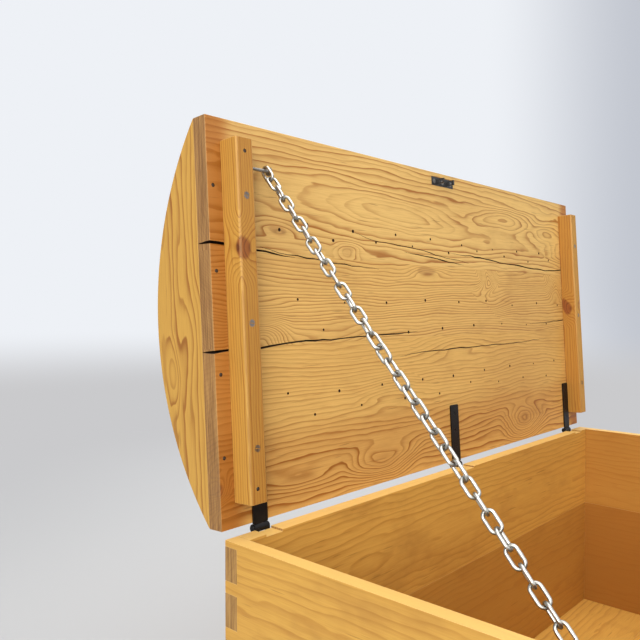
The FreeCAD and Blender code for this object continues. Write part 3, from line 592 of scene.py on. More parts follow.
def planed_board(node, chance, width, cutter=None):
    """A wooden node with softened arrises and its own place in a log."""
    work = merged_copy(node)
    on_lid = BODY_OF[node] == "lid"
    if on_lid:
        work.transform(LID_CLOSED)
        work.normal_update()
    places = [vertex.co.copy() for vertex in work.verts]
    low = Vector(min(place[axis] for place in places) for axis in range(3))
    high = Vector(max(place[axis] for place in places) for axis in range(3))
    along, across, through = grain_axes(node, high - low)
    log_along = chance.uniform(*LOG_ALONG)
    log_across = chance.uniform(*LOG_ACROSS) * (high - low)[across]
    log_depth = chance.uniform(*LOG_DEPTH)
    log = BOARD_LOGS.get(node, (log_along, log_across, log_depth))
    soften(work, width, BOARD_ARRIS, touching_edges(work, node))
    finishes = [next(finish for mark, finish in WOOD_FINISHES if mark in node)]
    if cutter:
        work = carved(work, cutter, finishes[0])
        finishes.append(SPLIT_DIRT_AND_SHADE)
    work.normal_update()
    grain = work.verts.layers.float_vector.new(GRAIN)
    cross_cut = work.faces.layers.float.new(END_GRAIN)
    tone = work.faces.layers.float.new(TONE_AND_PAINTED_SHADING)
    board_tone = chance.uniform(*(STAVE_TONES if "stave" in node else PLAIN_TONES))
    board_tone = BOARD_TONES.get(node, board_tone)
    # Faces that face a given way get painted shade.
    facing, painted_side_shade = PAINTED_SIDE_SHADES.get(node, ((0, 0, 0), 0.0))
    for face in work.faces:
        face[cross_cut] = 1.0 if abs(face.normal[along]) > END_LIMIT else 0.0
        face[tone] = painted_side_shade if face.normal.dot(facing) > SIDE_LIMIT else board_tone
        # Painted light on the top of the rim.
        if node.endswith("upper_board") and face.normal.z > SIDE_LIMIT:
            face[tone] = RIM_PAINTED_LIGHT
    middle = (low + high) / 2
    for vertex in work.verts:
        vertex[grain] = (
            vertex.co[along] + log[0],
            vertex.co[across] - middle[across] + log[1],
            vertex.co[through] - low[through] + log[2],
        )
    if on_lid:
        work.transform(LID_OPENED)
    crease(work, BOARD_CREASE)
    name = "planed_" + node
    new_piece(name, plain_mesh(name, work), BODY_OF[node], finishes, node)


def carved(work, cutter, finish):
    """The board with the cutter's shapes taken out of it."""
    mesh = plain_mesh("uncut_board", work)
    mesh.materials.append(finish)
    board = linked("uncut_board", mesh)
    modifier = board.modifiers.new("splits", "BOOLEAN")
    modifier.operation = "DIFFERENCE"
    modifier.solver = "EXACT"
    modifier.use_self = True
    modifier.material_mode = "TRANSFER"
    modifier.object = cutter
    evaluated = board.evaluated_get(bpy.context.evaluated_depsgraph_get())
    cut = bpy.data.meshes.new_from_object(evaluated)
    result = bmesh.new()
    result.from_mesh(cut)
    bpy.data.objects.remove(board)
    bpy.data.meshes.remove(mesh)
    bpy.data.meshes.remove(cut)
    return result


def build_boards():
    chance = random.Random(BOARD_SEED)
    margin, dome, batten, plinth = margin_nails(), dome_nails(), batten_nails(), plinth_nails()
    cutters = {
        "lid_plank": lid_cutter(margin), "lid_stave": nail_pits(dome),
        "lid_batten": nail_pits(batten), "plinth": nail_pits(plinth),
    }
    for node in sorted(frame["nodes"]):
        if SLOT_OF[node] == "pine":
            width = next(size for mark, size in ARRIS_WIDTHS if mark in node)
            cutter = next((cutters[mark] for mark in cutters if node.startswith(mark)), None)
            planed_board(node, chance, width, cutter)
    for cutter in cutters.values():
        bpy.data.objects.remove(cutter)
    tree = nail_tree()
    sizes = {"Radius": NAIL_RADIUS, "Sink": NAIL_SINK, "Crown": NAIL_CROWN, "Finish": NAIL_IRON}
    for body, points in (("lid", margin + dome + batten), ("chest_body", plinth)):
        name = "sunk_nails_" + body
        mesh = grown_mesh(name, tree, sizes, seed_points(name + "_points", points))
        if body == "lid":
            mesh.transform(LID_OPENED)
        new_piece(name, mesh, body)


# Nails, by place, outward direction and turn, with the lid closed

NAIL_RADIUS = 0.0021
NAIL_SINK = 0.0002
NAIL_CROWN = 0.0004
NAIL_TAPER = 0.6
NAIL_PIT_RADIUS = 0.0026
NAIL_PIT_DEPTH = 0.0012
PIT_FLARE = 1.1
PIT_TAPER = 0.9
NAIL_SIDES = 14
NAIL_SEGMENTS = {"Vertices": NAIL_SIDES, "Fill_Segments": 3}
HEAD_RIM = 0.9
MARGIN_NAIL_INSET = 0.009
MARGIN_NAIL_OUTS = (0.097, 0.201, 0.331, 0.439)
MARGIN_NAIL_TURN = 0.3
BATTEN_NAILS = ((0.036, 0.480), (0.034, 0.058))
STAVE_COUNT = 6
STAVE_NAIL_X = (-0.5235, 0.0, 0.5235)
STAVE_NAIL_SHARES = (0.22, 0.78)
PLINTH_NAIL_X = (-0.48, -0.24, 0.0, 0.24, 0.48)
PLINTH_NAIL_Y = (-0.19, 0.0, 0.19)
PLINTH_NAIL_Z = (0.02, 0.056)
# Plinth board, axis and side that it faces, and where its nails lie along it.
PLINTH_NAILS = (
    ("plinth_front", 1, -1, PLINTH_NAIL_X), ("plinth_back", 1, 1, PLINTH_NAIL_X),
    ("plinth_left", 0, -1, PLINTH_NAIL_Y), ("plinth_right", 0, 1, PLINTH_NAIL_Y),
)


def under_lid(along, out, height=0.0):
    """Place by the closed lid's underside, in metres from its left end and the hinge axis."""
    return Vector((LID_LEFT + along, HINGE_AXIS.y - out, HINGE_AXIS.z + height))


def margin_nails():
    """Nails through the planks into the end boards."""
    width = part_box("lid_plank_front")[1].x - LID_LEFT
    sides = (MARGIN_NAIL_INSET, width - MARGIN_NAIL_INSET)
    return [
        (under_lid(along, out), DOWN, MARGIN_NAIL_TURN * out)
        for along in sides for out in MARGIN_NAIL_OUTS
    ]


def batten_nails():
    """Nails in the left batten, near both of its ends."""
    face = min((LID_CLOSED @ corner).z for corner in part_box("lid_batten_left"))
    height = face - HINGE_AXIS.z
    return [(under_lid(along, out, height), DOWN, along) for along, out in BATTEN_NAILS]


def dome_nails():
    """Nails through the curved staves into the end boards and the rib."""
    radius, middle_y, middle_z = dome_circle()
    points = []
    for number in range(1, STAVE_COUNT + 1):
        stave = frame["nodes"]["lid_stave_" + str(number)].data
        shape = [LID_CLOSED @ vertex.co for vertex in stave.vertices]
        angles = [math.atan2(place.y - middle_y, place.z - middle_z) for place in shape]
        for share in STAVE_NAIL_SHARES:
            angle = min(angles) + (max(angles) - min(angles)) * share
            out = Vector((0, math.sin(angle), math.cos(angle)))
            for x in STAVE_NAIL_X:
                points.append((Vector((x, middle_y, middle_z)) + out * radius, out, angle))
    return points


def dome_circle():
    """Radius and centre of the dome's outside, from its width over the planks and its rise."""
    planks = ("lid_plank_front", "lid_plank_back")
    corners = [LID_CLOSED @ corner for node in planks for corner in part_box(node)]
    low = min(corner.y for corner in corners)
    high = max(corner.y for corner in corners)
    end_board = frame["nodes"]["lid_end_board_left"].data
    crown_z = max((LID_CLOSED @ vertex.co).z for vertex in end_board.vertices)
    rise = crown_z - max(corner.z for corner in corners)
    radius = ((high - low) ** 2 / 4 + rise ** 2) / (2 * rise)
    return radius, (low + high) / 2, crown_z - radius


def plinth_nails():
    """Nails along the plinth, by turns low and high."""
    points = []
    for node, axis, side, places in PLINTH_NAILS:
        out = Vector((0, 0, 0))
        out[axis] = side
        for number, along in enumerate(places):
            point = Vector((along, along, PLINTH_NAIL_Z[number % 2]))
            point[axis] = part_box(node)[side > 0][axis]
            points.append((point, out, along))
    return points


def sunk(graph, geometry, depth):
    """Geometry moved straight down by a depth."""
    lower = graph.upward(graph.times(depth, -1.0))
    return graph.shape("Transform", Geometry=geometry, Translation=lower)


def crowned_head(graph, radius, under_radius, depth, crown, **segments):
    """Coned head whose top falls away from its middle."""
    cone = graph.shape(
        "MeshCone", Radius_Top=radius, Radius_Bottom=under_radius, Depth=depth,
        fill_type="TRIANGLE_FAN", **segments,
    )
    place = graph.shape("InputPosition")
    out = graph.length(graph.vector("MULTIPLY", place, (1, 1, 0)))
    share = graph.math("POWER", graph.math("DIVIDE", out, radius), 2.0)
    drop = graph.upward(graph.times(graph.times(share, crown), -1.0))
    on_top = graph.math("GREATER_THAN", graph.axes(place)[2], graph.times(depth, HEAD_RIM))
    return graph.shape("SetPosition", Geometry=cone, Selection=on_top, Offset=drop)


def pit_tree():
    """Shallow round pits, each around one point."""
    graph, given = node_tree("nail_pits", Float=("Radius", "Depth"), Material=("Finish",))
    radius, depth = given["Radius"], given["Depth"]
    cone = graph.shape(
        "MeshCone", Vertices=NAIL_SIDES, Depth=graph.times(depth, 2.0),
        Radius_Top=graph.times(radius, PIT_FLARE), Radius_Bottom=graph.times(radius, PIT_TAPER),
    )
    pits = on_points(graph, given["Geometry"], sunk(graph, cone, depth))
    return close_tree(graph, pits, given["Finish"])


def nail_tree():
    """Crowned nail heads that lie a little below the surface."""
    graph, given = node_tree("sunk_nails", Float=("Radius", "Sink", "Crown"), Material=("Finish",))
    radius = given["Radius"]
    under = graph.times(radius, NAIL_TAPER)
    head = crowned_head(graph, radius, under, radius, given["Crown"], **NAIL_SEGMENTS)
    head = sunk(graph, head, graph.math("ADD", radius, given["Sink"]))
    return close_tree(graph, on_points(graph, given["Geometry"], head), given["Finish"])


def nail_pits(points):
    """Cutter for the pits that sunk nails lie in."""
    values = {"Radius": NAIL_PIT_RADIUS, "Depth": NAIL_PIT_DEPTH, "Finish": SPLIT_DIRT_AND_SHADE}
    mesh = grown_mesh("nail_pits", pit_tree(), values, seed_points("nail_pit_points", points))
    return linked("nail_pits", mesh)


# Splits and nail holes in the planks under the lid

MILLIMETRES = 1000
SPLIT_SEED = 5
SPLIT_STEP = 18.0
SPLIT_STRAY = 1.1
SPLIT_WIDTH_STRAY = (0.7, 1.2)
SPLIT_OPENING = 1.35
SPLIT_LIFT = 0.0015
SPLIT_WAIST = 0.8
# Courses of the splits: place along the lid, out from the hinges, width and depth, in millimetres.
SPLITS = (
    ((-4, 367, 3.0, 30), (23, 366, 2.6, 20), (77, 361, 2.2, 12), (110, 358, 1.6, 8),
     (150, 355, 0.3, 2)),
    ((84, 366, 0.4, 2), (136, 358, 0.9, 5), (191, 355, 1.6, 7), (273, 348, 1.1, 5),
     (340, 346, 0.2, 1)),
    ((277, 401, 0.2, 1), (325, 392, 1.0, 5), (434, 386, 1.2, 6), (560, 373, 0.9, 5),
     (618, 368, 0.2, 1)),
    ((410, 378, 0.2, 1), (470, 374, 1.5, 6), (530, 369, 1.7, 6), (600, 364, 0.2, 1)),
    ((554, 384, 0.2, 1), (662, 381, 1.9, 7), (760, 374, 1.3, 6), (801, 373, 2.0, 7),
     (948, 366, 1.6, 7), (1029, 371, 1.8, 12), (1084, 369, 2.8, 30)),
    ((-4, 229, 3.2, 30), (20, 231, 2.6, 20), (76, 231, 2.2, 10), (148, 237, 2.0, 8),
     (235, 238, 1.5, 7), (383, 241, 1.5, 6), (440, 244, 0.2, 1)),
    ((385, 203, 0.2, 1), (434, 207, 0.9, 5), (538, 209, 1.7, 7), (650, 210, 1.5, 6),
     (802, 211, 0.9, 5), (941, 215, 0.2, 1)),
    ((861, 248, 0.2, 1), (960, 251, 1.3, 6), (1025, 254, 1.7, 10), (1084, 253, 2.6, 30)),
)
# Rows of empty nail holes: start along the lid, out from the hinges, and zigzag.
NAIL_ROWS = ((0.120, 0.388, 0.017), (0.146, 0.293, -0.045), (0.122, 0.162, -0.024))
NAIL_ROW_COUNT = 17
NAIL_PITCH = 0.0533
NAIL_STRAY = 0.006
NAIL_HOLE_RADIUS = 0.0026
NAIL_HOLE_DEPTH = 0.007
NAIL_HOLE_LIFT = 0.001
NAIL_HOLE_SIDES = 8
NAIL_HOLE_TAPER = 0.5
NAIL_HOLE_GIRTHS = (0.7, 1.15)


def split_cutter(work, course):
    """Wedge along a course of (along, out, width, depth) in millimetres."""
    rings = []
    for along, out, width, depth in course:
        half = width * SPLIT_OPENING / (2 * MILLIMETRES)
        waist = half * SPLIT_WAIST
        waist_height = depth / (3 * MILLIMETRES)
        section = (
            (-half, -SPLIT_LIFT), (half, -SPLIT_LIFT), (waist, waist_height),
            (0.0, depth / MILLIMETRES), (-waist, waist_height),
        )
        rings.append([
            work.verts.new(under_lid(along / MILLIMETRES, out / MILLIMETRES + aside, height))
            for aside, height in section
        ])
    join_rings(work, rings)
    work.faces.new(list(reversed(rings[0])))
    work.faces.new(rings[-1])


def join_rings(work, rings):
    """Faces between each ring of corners and the next."""
    for first, second in zip(rings, rings[1:]):
        for number in range(len(first)):
            after = (number + 1) % len(first)
            work.faces.new((first[number], first[after], second[after], second[number]))


def wandering(course, chance):
    """The course with points between its own, each a little out of line."""
    points = [course[0]]
    for first, second in zip(course, course[1:]):
        steps = max(1, round((second[0] - first[0]) / SPLIT_STEP))
        for step in range(1, steps + 1):
            share = step / steps
            along, out, width, depth = (a + (b - a) * share for a, b in zip(first, second))
            stray = 0 if step == steps else chance.uniform(-SPLIT_STRAY, SPLIT_STRAY)
            points.append((along, out + stray, width * chance.uniform(*SPLIT_WIDTH_STRAY), depth))
    return points


def lid_cutter(nails):
    """One object that holds the splits, nail holes and nail pits of the lid's underside."""
    chance = random.Random(SPLIT_SEED)
    work = bmesh.new()
    for course in SPLITS:
        split_cutter(work, wandering(course, chance))
    bmesh.ops.recalc_face_normals(work, faces=work.faces)
    tree = nail_hole_tree()
    for seed, (start, out, zigzag) in enumerate(NAIL_ROWS):
        values = {
            "Count": NAIL_ROW_COUNT, "Start": under_lid(start, out),
            "Step": Vector((NAIL_PITCH, 0, 0)), "Zigzag": Vector((0, -zigzag, 0)),
            "Stray": NAIL_STRAY, "Radius": NAIL_HOLE_RADIUS, "Depth": NAIL_HOLE_DEPTH,
            "Seed": seed, "Finish": SPLIT_DIRT_AND_SHADE,
        }
        holes = grown_mesh("nail_holes", tree, values)
        work.from_mesh(holes)
        bpy.data.meshes.remove(holes)
    pits = nail_pits(nails)
    work.from_mesh(pits.data)
    bpy.data.objects.remove(pits)
    mesh = plain_mesh("lid_cutter", work)
    mesh.materials.append(SPLIT_DIRT_AND_SHADE)
    return linked("lid_cutter", mesh)


def nail_hole_tree():
    """Pointed holes in a zigzag row, each strayed a little from its place."""
    graph, given = node_tree(
        "nail_holes", Int=("Count", "Seed"), Vector=("Start", "Step", "Zigzag"),
        Float=("Stray", "Radius", "Depth"), Material=("Finish",),
    )
    line = straight_line(graph, given["Count"], given["Start"], given["Step"])
    odd = graph.math("MODULO", graph.shape("InputIndex"), 2.0)
    limits = {"Min": (-1, -1, 0), "Max": (1, 1, 0), "Seed": given["Seed"]}
    stray = graph.add("FunctionNodeRandomValue", limits, data_type="FLOAT_VECTOR").outputs[0]
    stray = graph.scaled(stray, given["Stray"])
    offset = graph.vector("ADD", graph.scaled(given["Zigzag"], odd), stray)
    row = graph.shape("SetPosition", Geometry=line, Offset=offset)
    cone = graph.shape(
        "MeshCone", Vertices=NAIL_HOLE_SIDES, Radius_Bottom=given["Radius"],
        Radius_Top=graph.times(given["Radius"], NAIL_HOLE_TAPER),
        Depth=graph.math("ADD", given["Depth"], NAIL_HOLE_LIFT),
    )
    cone = sunk(graph, cone, NAIL_HOLE_LIFT)
    low, high = NAIL_HOLE_GIRTHS
    limits = {2: low, 3: high, "Seed": given["Seed"]}
    girth = graph.add("FunctionNodeRandomValue", limits, data_type="FLOAT").outputs[1]
    holes = graph.shape("InstanceOnPoints", Points=row, Instance=cone, Scale=girth)
    return close_tree(graph, holes, given["Finish"])


# Metal

EDGE_EASE = 0.0004
METAL_ARRIS = 25
METAL_CREASE = 35
RUB_SOIL_AND_SHADE = "contact"
# Noises: scale, detail, roughness; the part of the noise that shows, and how strongly.
CLOUD, CLOUD_SPAN, CLOUD_SHARE = (60, 4.0, 0.6), (0.4, 0.75), 0.5
SPECK, SPECK_SPAN, SPECK_SHARE = (380, 2.0, 0.5), (0.66, 0.72), 0.5
SCRATCH, SCRATCH_SPAN, SCRATCH_SHARE = (240, 3.0, 0.7), (0.45, 0.7), 0.35
PITTING, PITTING_DISTANCE = (700, 3.0, 0.6), 0.0003
RUBBED_EDGE = srgb(150, 146, 140)
RUB_SOIL_AND_SHADE_SHARE = 0.5
CLOUD_ROUGHNESS = 0.25


def metal(name, colour, shade, gloss, metallic=1.0, specular=0.5, pits=0.25, soil_and_shade=None):
    """Worn metal: clouded colour, small pits, brighter edges and, on links, rub soil and painted shade where they
    meet.
    """
    material, graph, shader = finish_material(name)
    place = graph.object_place()
    cloud = graph.noise(place, *CLOUD)
    tone = graph.tint(graph.spread(cloud, *CLOUD_SPAN, 0.0, CLOUD_SHARE), colour, shade)
    speck = graph.spread(graph.noise(place, *SPECK), *SPECK_SPAN, 0.0, SPECK_SHARE)
    tone = graph.tint(speck, tone, shade)
    scratch = graph.spread(graph.noise(place, *SCRATCH), *SCRATCH_SPAN)
    rubbed = graph.times(graph.attribute(ARRIS), graph.times(scratch, SCRATCH_SHARE))
    tone = graph.tint(rubbed, tone, RUBBED_EDGE)
    # Rub soil and painted shade toward the ends of a link, where the next link lies.
    if soil_and_shade:
        tone = graph.tint(graph.times(graph.attribute(RUB_SOIL_AND_SHADE), RUB_SOIL_AND_SHADE_SHARE), tone, soil_and_shade)
    shader.inputs["Metallic"].default_value = metallic
    rough = graph.math("MULTIPLY_ADD", cloud, CLOUD_ROUGHNESS, gloss)
    pitting = graph.noise(place, *PITTING)
    relief = {"Strength": pits, "Distance": PITTING_DISTANCE, "Height": pitting}
    dress(graph, shader, tone, rough, specular, relief)
    return material


BLACK_IRON = metal(
    "black_japanned_iron", srgb(9, 8, 8), srgb(24, 19, 17), gloss=0.3, metallic=0.0,
    specular=0.22, pits=0.7,
)
ZINC = metal(
    "zinc_plated_steel", srgb(202, 199, 190), srgb(150, 148, 141), gloss=0.2,
    soil_and_shade=srgb(52, 52, 48),
)
DULL_STEEL = metal("dull_screw_steel", srgb(150, 146, 140), srgb(96, 88, 80), gloss=0.35)
LOCK_STEEL = metal("tarnished_lock_steel", srgb(80, 79, 78), srgb(36, 33, 32), gloss=0.2)
NAIL_IRON = metal("nail_iron", srgb(96, 90, 84), srgb(58, 44, 36), gloss=0.45)
METALS = {
    "black_iron": BLACK_IRON, "zinc_steel": ZINC,
    "screw_steel": DULL_STEEL, "lock_steel": LOCK_STEEL,
}


def forged_piece(node):
    """A metal node with its sharp edges eased."""
    work = merged_copy(node)
    soften(work, EDGE_EASE, METAL_ARRIS)
    crease(work, METAL_CREASE)
    name = "forged_" + node
    slot = SLOT_OF[node]
    new_piece(name, plain_mesh(name, work), BODY_OF[node], [METALS[slot]], node)


def build_ironwork():
    for node in sorted(frame["nodes"]):
        if SLOT_OF[node] in METALS and "screw" not in node and not node.startswith("chain"):
            forged_piece(node)


# Pieces that repeat

def node_tree(name, **sizes):
    """Empty geometry tree with named inputs of each kind: its graph and its inputs."""
    tree = bpy.data.node_groups.new(name, "GeometryNodeTree")
    labels = [("Geometry", "Geometry")]
    labels += [(label, kind) for kind in sizes for label in sizes[kind]]
    for label, kind in labels:
        tree.interface.new_socket(label, in_out="INPUT", socket_type="NodeSocket" + kind)
    tree.interface.new_socket("Geometry", in_out="OUTPUT", socket_type="NodeSocketGeometry")
    graph = Graph(tree)
    return graph, graph.add("NodeGroupInput").outputs


def close_tree(graph, geometry, material, smooth=False):
    """The tree, ended with plain geometry that carries its material."""
    shaded = graph.shape("SetShadeSmooth", Geometry=geometry, Shade_Smooth=smooth)
    real = graph.shape("RealizeInstances", Geometry=shaded)
    dressed = graph.shape("SetMaterial", Geometry=real, Material=material)
    graph.add("NodeGroupOutput", {0: dressed})
    return graph.tree


def grown_mesh(name, tree, values, seed_mesh=None):
    """Plain mesh that a tree makes from its named values."""
    seed = seed_mesh or bpy.data.meshes.new(name + "_seed")
    holder = linked(name + "_holder", seed)
    modifier = holder.modifiers.new("growth", "NODES")
    modifier.node_group = tree
    for socket in tree.interface.items_tree:
        if socket.in_out == "INPUT" and socket.name in values:
            modifier[socket.identifier] = values[socket.name]
    evaluated = holder.evaluated_get(bpy.context.evaluated_depsgraph_get())
    mesh = bpy.data.meshes.new_from_object(evaluated)
    mesh.name = name
    holder.modifiers.remove(modifier)
    bpy.data.objects.remove(holder)
    bpy.data.meshes.remove(seed)
    return mesh


def seed_points(name, points):
    """Loose points that carry a direction to face and a turn about it."""
    mesh = bpy.data.meshes.new(name)
    mesh.from_pydata([place for place, out, turn in points], [], [])
    mesh.attributes.new("out", "FLOAT_VECTOR", "POINT")
    mesh.attributes.new("turn", "FLOAT", "POINT")
    for number, (place, out, turn) in enumerate(points):
        mesh.attributes["out"].data[number].vector = out
        mesh.attributes["turn"].data[number].value = turn
    return mesh


def straight_line(graph, count, start, step):
    return graph.shape("MeshLine", Count=count, Start_Location=start, Offset=step)


def turned(graph, rotation, axis, angle):
    """A rotation that is first turned about one of its own axes."""
    about = {"Axis": axis, "Angle": angle}
    about = graph.add("FunctionNodeAxisAngleToRotation", about).outputs[0]
    inputs = {"Rotation": rotation, "Rotate By": about}
    return graph.add("FunctionNodeRotateRotation", inputs, rotation_space="LOCAL").outputs[0]


def on_points(graph, points, instance):
    """Stand one instance on each point, facing out and turned as the point says."""
    out = graph.shape("InputNamedAttribute", Name="out", data_type="FLOAT_VECTOR")
    turn = graph.shape("InputNamedAttribute", Name="turn", data_type="FLOAT")
    facing = graph.add("FunctionNodeAlignRotationToVector", {"Vector": out}, axis="Z").outputs[0]
    rotation = turned(graph, facing, (0, 0, 1), turn)
    return graph.shape("InstanceOnPoints", Points=points, Instance=instance, Rotation=rotation)


# Stay chain

LINK_WIRE = 0.004
LINK_INNER_WIDTH = 0.008
LINK_PLAY = 0.0003
LINK_BEND = 0.4999
LINK_BEND_POINTS = 9
LINK_POINTS = 52
WIRE_SIDES = 12
WELD_SWELL = 0.07
WELD_SPAN = (0.0004, 0.0019)
RUB_SOIL_AND_SHADE_SPAN = (0.68, 0.98)
LINK_ROLL = 57.0
LINK_ROLL_WAVE = 18.0
LINK_ROLL_PERIOD = 6.6
LINK_ROLL_EASE = 4
LINK_COUNT = 37
CHAIN_SCREW_RADIUS = 0.0025
CHAIN_UPPER_END = Vector(JOINTS["chain_upper_swing"]["pos_m"])
CHAIN_LOWER_END = Vector(JOINTS["chain_lower_swing"]["pos_m"])
CHAIN_RUNS = (
    ("chain_upper", 17), ("chain_turn_upper", 2), ("chain_turn_lower", 3), ("chain_lower", 15),
)
FOLD_START = 16
FOLD_END = 22


def chain_tree():
    """Run of welded links along a straight line, rolled by their number in the whole chain."""
    graph, given = node_tree(
        "stay_chain", Int=("Links", "First Link"), Vector=("Start", "Step", "Across"),
        Float=("Wire", "Loop Length", "Loop Width", "Weld Swell"),
    )
    length, width = given["Loop Length"], given["Loop Width"]
    loop = graph.shape("CurvePrimitiveQuadrilateral", Width=length, Height=width)
    bend = graph.times(width, LINK_BEND)
    oval = graph.shape("FilletCurve", mode="POLY", Curve=loop, Count=LINK_BEND_POINTS, Radius=bend)
    even = graph.shape("ResampleCurve", Curve=oval, Count=LINK_POINTS)
    along, aside = graph.axes(graph.shape("InputPosition"))[:2]
    from_middle = graph.math("ABSOLUTE", along)
    near_weld = graph.spread(from_middle, *WELD_SPAN, 1.0, 0.0)
    one_side = graph.math("GREATER_THAN", aside, 0.0)
    swell = graph.times(graph.times(near_weld, one_side), given["Weld Swell"])
    girth = graph.math("ADD", swell, 1.0)
    wire = graph.times(given["Wire"], 0.5)
    section = graph.shape("CurvePrimitiveCircle", Resolution=WIRE_SIDES, Radius=wire)
    link = graph.shape("CurveToMesh", Curve=even, Profile_Curve=section, Scale=girth)
    # Painted shade with rub soil toward the ends of each link, where the next one lies.
    to_bow = graph.math("DIVIDE", from_middle, graph.times(length, 0.5))
    rubbed = graph.shape(
        "StoreNamedAttribute", data_type="FLOAT", domain="POINT",
        Geometry=link, Name=RUB_SOIL_AND_SHADE, Value=graph.spread(to_bow, *RUB_SOIL_AND_SHADE_SPAN),
    )

    number = graph.math("ADD", graph.shape("InputIndex"), given["First Link"])
    before_fold = graph.math("SUBTRACT", FOLD_START, number)
    after_fold = graph.math("SUBTRACT", number, FOLD_END)
    to_fold = graph.math("MAXIMUM", graph.math("MAXIMUM", before_fold, after_fold), 0.0)
    to_end = graph.math("MINIMUM", number, graph.math("SUBTRACT", LINK_COUNT - 1, number))
    eased = graph.math("DIVIDE", graph.math("MINIMUM", to_end, to_fold), LINK_ROLL_EASE)
    eased = graph.math("MINIMUM", eased, 1.0)
    swing = graph.math("SINE", graph.times(number, 2 * math.pi / LINK_ROLL_PERIOD))
    uneven = graph.math("MULTIPLY_ADD", swing, LINK_ROLL_WAVE, LINK_ROLL)
    quarter = graph.times(graph.math("MODULO", number, 2.0), 90.0)
    roll = graph.math("RADIANS", graph.math("MULTIPLY_ADD", eased, uneven, quarter))
    inputs = {"Primary Axis": given["Step"], "Secondary Axis": given["Across"]}
    kind = "FunctionNodeAxesToRotation"
    lay = graph.add(kind, inputs, primary_axis="X", secondary_axis="Z").outputs[0]
    rotation = turned(graph, lay, (1, 0, 0), roll)
    line = straight_line(graph, given["Links"], given["Start"], given["Step"])
    links = graph.shape("InstanceOnPoints", Points=line, Instance=rubbed, Rotation=rotation)
    return close_tree(graph, links, ZINC, smooth=True)


def build_chain():
    tree = chain_tree()
    line = CHAIN_LOWER_END - CHAIN_UPPER_END
    pitch = (line.length + 2 * CHAIN_SCREW_RADIUS + LINK_PLAY) / LINK_COUNT
    along = line.normalized()
    sideways = Vector((1, 0, 0))
    start = CHAIN_UPPER_END + along * ((pitch + LINK_PLAY) / 2 - CHAIN_SCREW_RADIUS - LINK_PLAY)
    first = 0
    for body, count in CHAIN_RUNS:
        values = {
            "Links": count, "First Link": first, "Start": start + along * (pitch * first),
            "Step": along * pitch, "Across": sideways - along * sideways.dot(along),
            "Wire": LINK_WIRE, "Loop Length": pitch + LINK_PLAY + LINK_WIRE,
            "Loop Width": LINK_INNER_WIDTH + LINK_WIRE, "Weld Swell": WELD_SWELL,
        }
        mesh = grown_mesh("welded_" + body, tree, values)
        new_piece("welded_" + body, mesh, body, node=body)
        first += count


# Screws

SCREW_SEED = 23
SCREW_RADIUS = 0.002
COUNTERSINK = 0.002
CHAIN_HEAD_RADIUS = 0.006
CHAIN_HEAD_HEIGHT = 0.0036
CHAIN_HEAD_TAPER = 0.96
SLOT_WIDTH_SHARE = 0.2
SLOT_DEPTH_SHARE = 0.3
SLOT_LENGTH_SHARE = 2.4
SHANK_TAPER = 0.7
SHANK_SIDES = 12
HEAD_SEGMENTS = {"Vertices": 24, "Side_Segments": 2, "Fill_Segments": 5}
CREST_DEPTH = 0.0004
LID_SCREWS = ("batten_screws", "hinge_lid_screws", "link_plate_screws")
BACKWARD_SCREWS = ("hinge_wall_screws", "lock_screws")
CHAIN_SCREWS = ("chain_lid_screw", "chain_wall_screw")


def islands(node):
    """The separate solids in a node's mesh, as lists of places."""
    work = merged_copy(node)
    reached = set()
    solids = []
    for start in work.verts:
        if start in reached:
            continue
        reached.add(start)
        front = [start]
        solid = []
        while front:
            vertex = front.pop()
            solid.append(vertex.co.copy())
            for edge in vertex.link_edges:
                other = edge.other_vert(vertex)
                if other not in reached:
                    reached.add(other)
                    front.append(other)
        solids.append(solid)
    work.free()

    def first_corner(solid):
        return tuple(round(value, 4) for value in min(solid, key=tuple))

    return sorted(solids, key=first_corner)


def screw_facing(node, solid):
    if node in LID_SCREWS:
        return LID_UNDER
    if node in BACKWARD_SCREWS:
        return Vector((0, 1, 0))
    side = 1 if solid[0].x > 0 or node in CHAIN_SCREWS else -1
    return Vector((side, 0, 0))


def screw_measures(node, solid):
    """Middle of a screw's head, the way it faces, the head's radius and the whole length."""
    out = screw_facing(node, solid)
    top = max(place.dot(out) for place in solid)
    crest = [place for place in solid if place.dot(out) > top - CREST_DEPTH]
    middle = sum(crest, Vector()) / len(crest)
    middle += out * (top - middle.dot(out))
    radius = max((place - middle).length for place in crest)
    return middle, out, radius, top - min(place.dot(out) for place in solid)


def screw_tree():
    """Slotted wood screws: a coned or round head on a pointed shank at each point."""
    heads = ("Head Radius", "Under Head Radius", "Head Depth", "Crown", "Slot Width", "Slot Depth")
    shanks = ("Shank Radius", "Length")
    graph, given = node_tree("slotted_screws", Float=heads + shanks, Material=("Finish",))
    radius, under, depth, crown, slot_width, slot_depth = (given[label] for label in heads)
    shank_radius, length = (given[label] for label in shanks)
    head = crowned_head(graph, radius, under, depth, crown, **HEAD_SEGMENTS)
    slot = {
        "X": graph.times(radius, SLOT_LENGTH_SHARE), "Y": slot_width,
        "Z": graph.times(slot_depth, 2.0),
    }
    slot = graph.add("ShaderNodeCombineXYZ", slot).outputs[0]
    slotted = graph.shape(
        "MeshBoolean", operation="DIFFERENCE", solver="EXACT",
        Mesh_1=sunk(graph, head, depth), Mesh_2=graph.shape("MeshCube", Size=slot),
    )
    shank = graph.shape(
        "MeshCone", Vertices=SHANK_SIDES, Radius_Top=shank_radius,
        Radius_Bottom=graph.times(shank_radius, SHANK_TAPER),
        Depth=graph.math("SUBTRACT", length, depth),
    )
    joined = graph.add("GeometryNodeJoinGeometry")
    graph.feed(joined.inputs[0], sunk(graph, shank, length))
    graph.feed(joined.inputs[0], slotted)
    screws = on_points(graph, given["Geometry"], joined.outputs[0])
    return close_tree(graph, screws, given["Finish"])


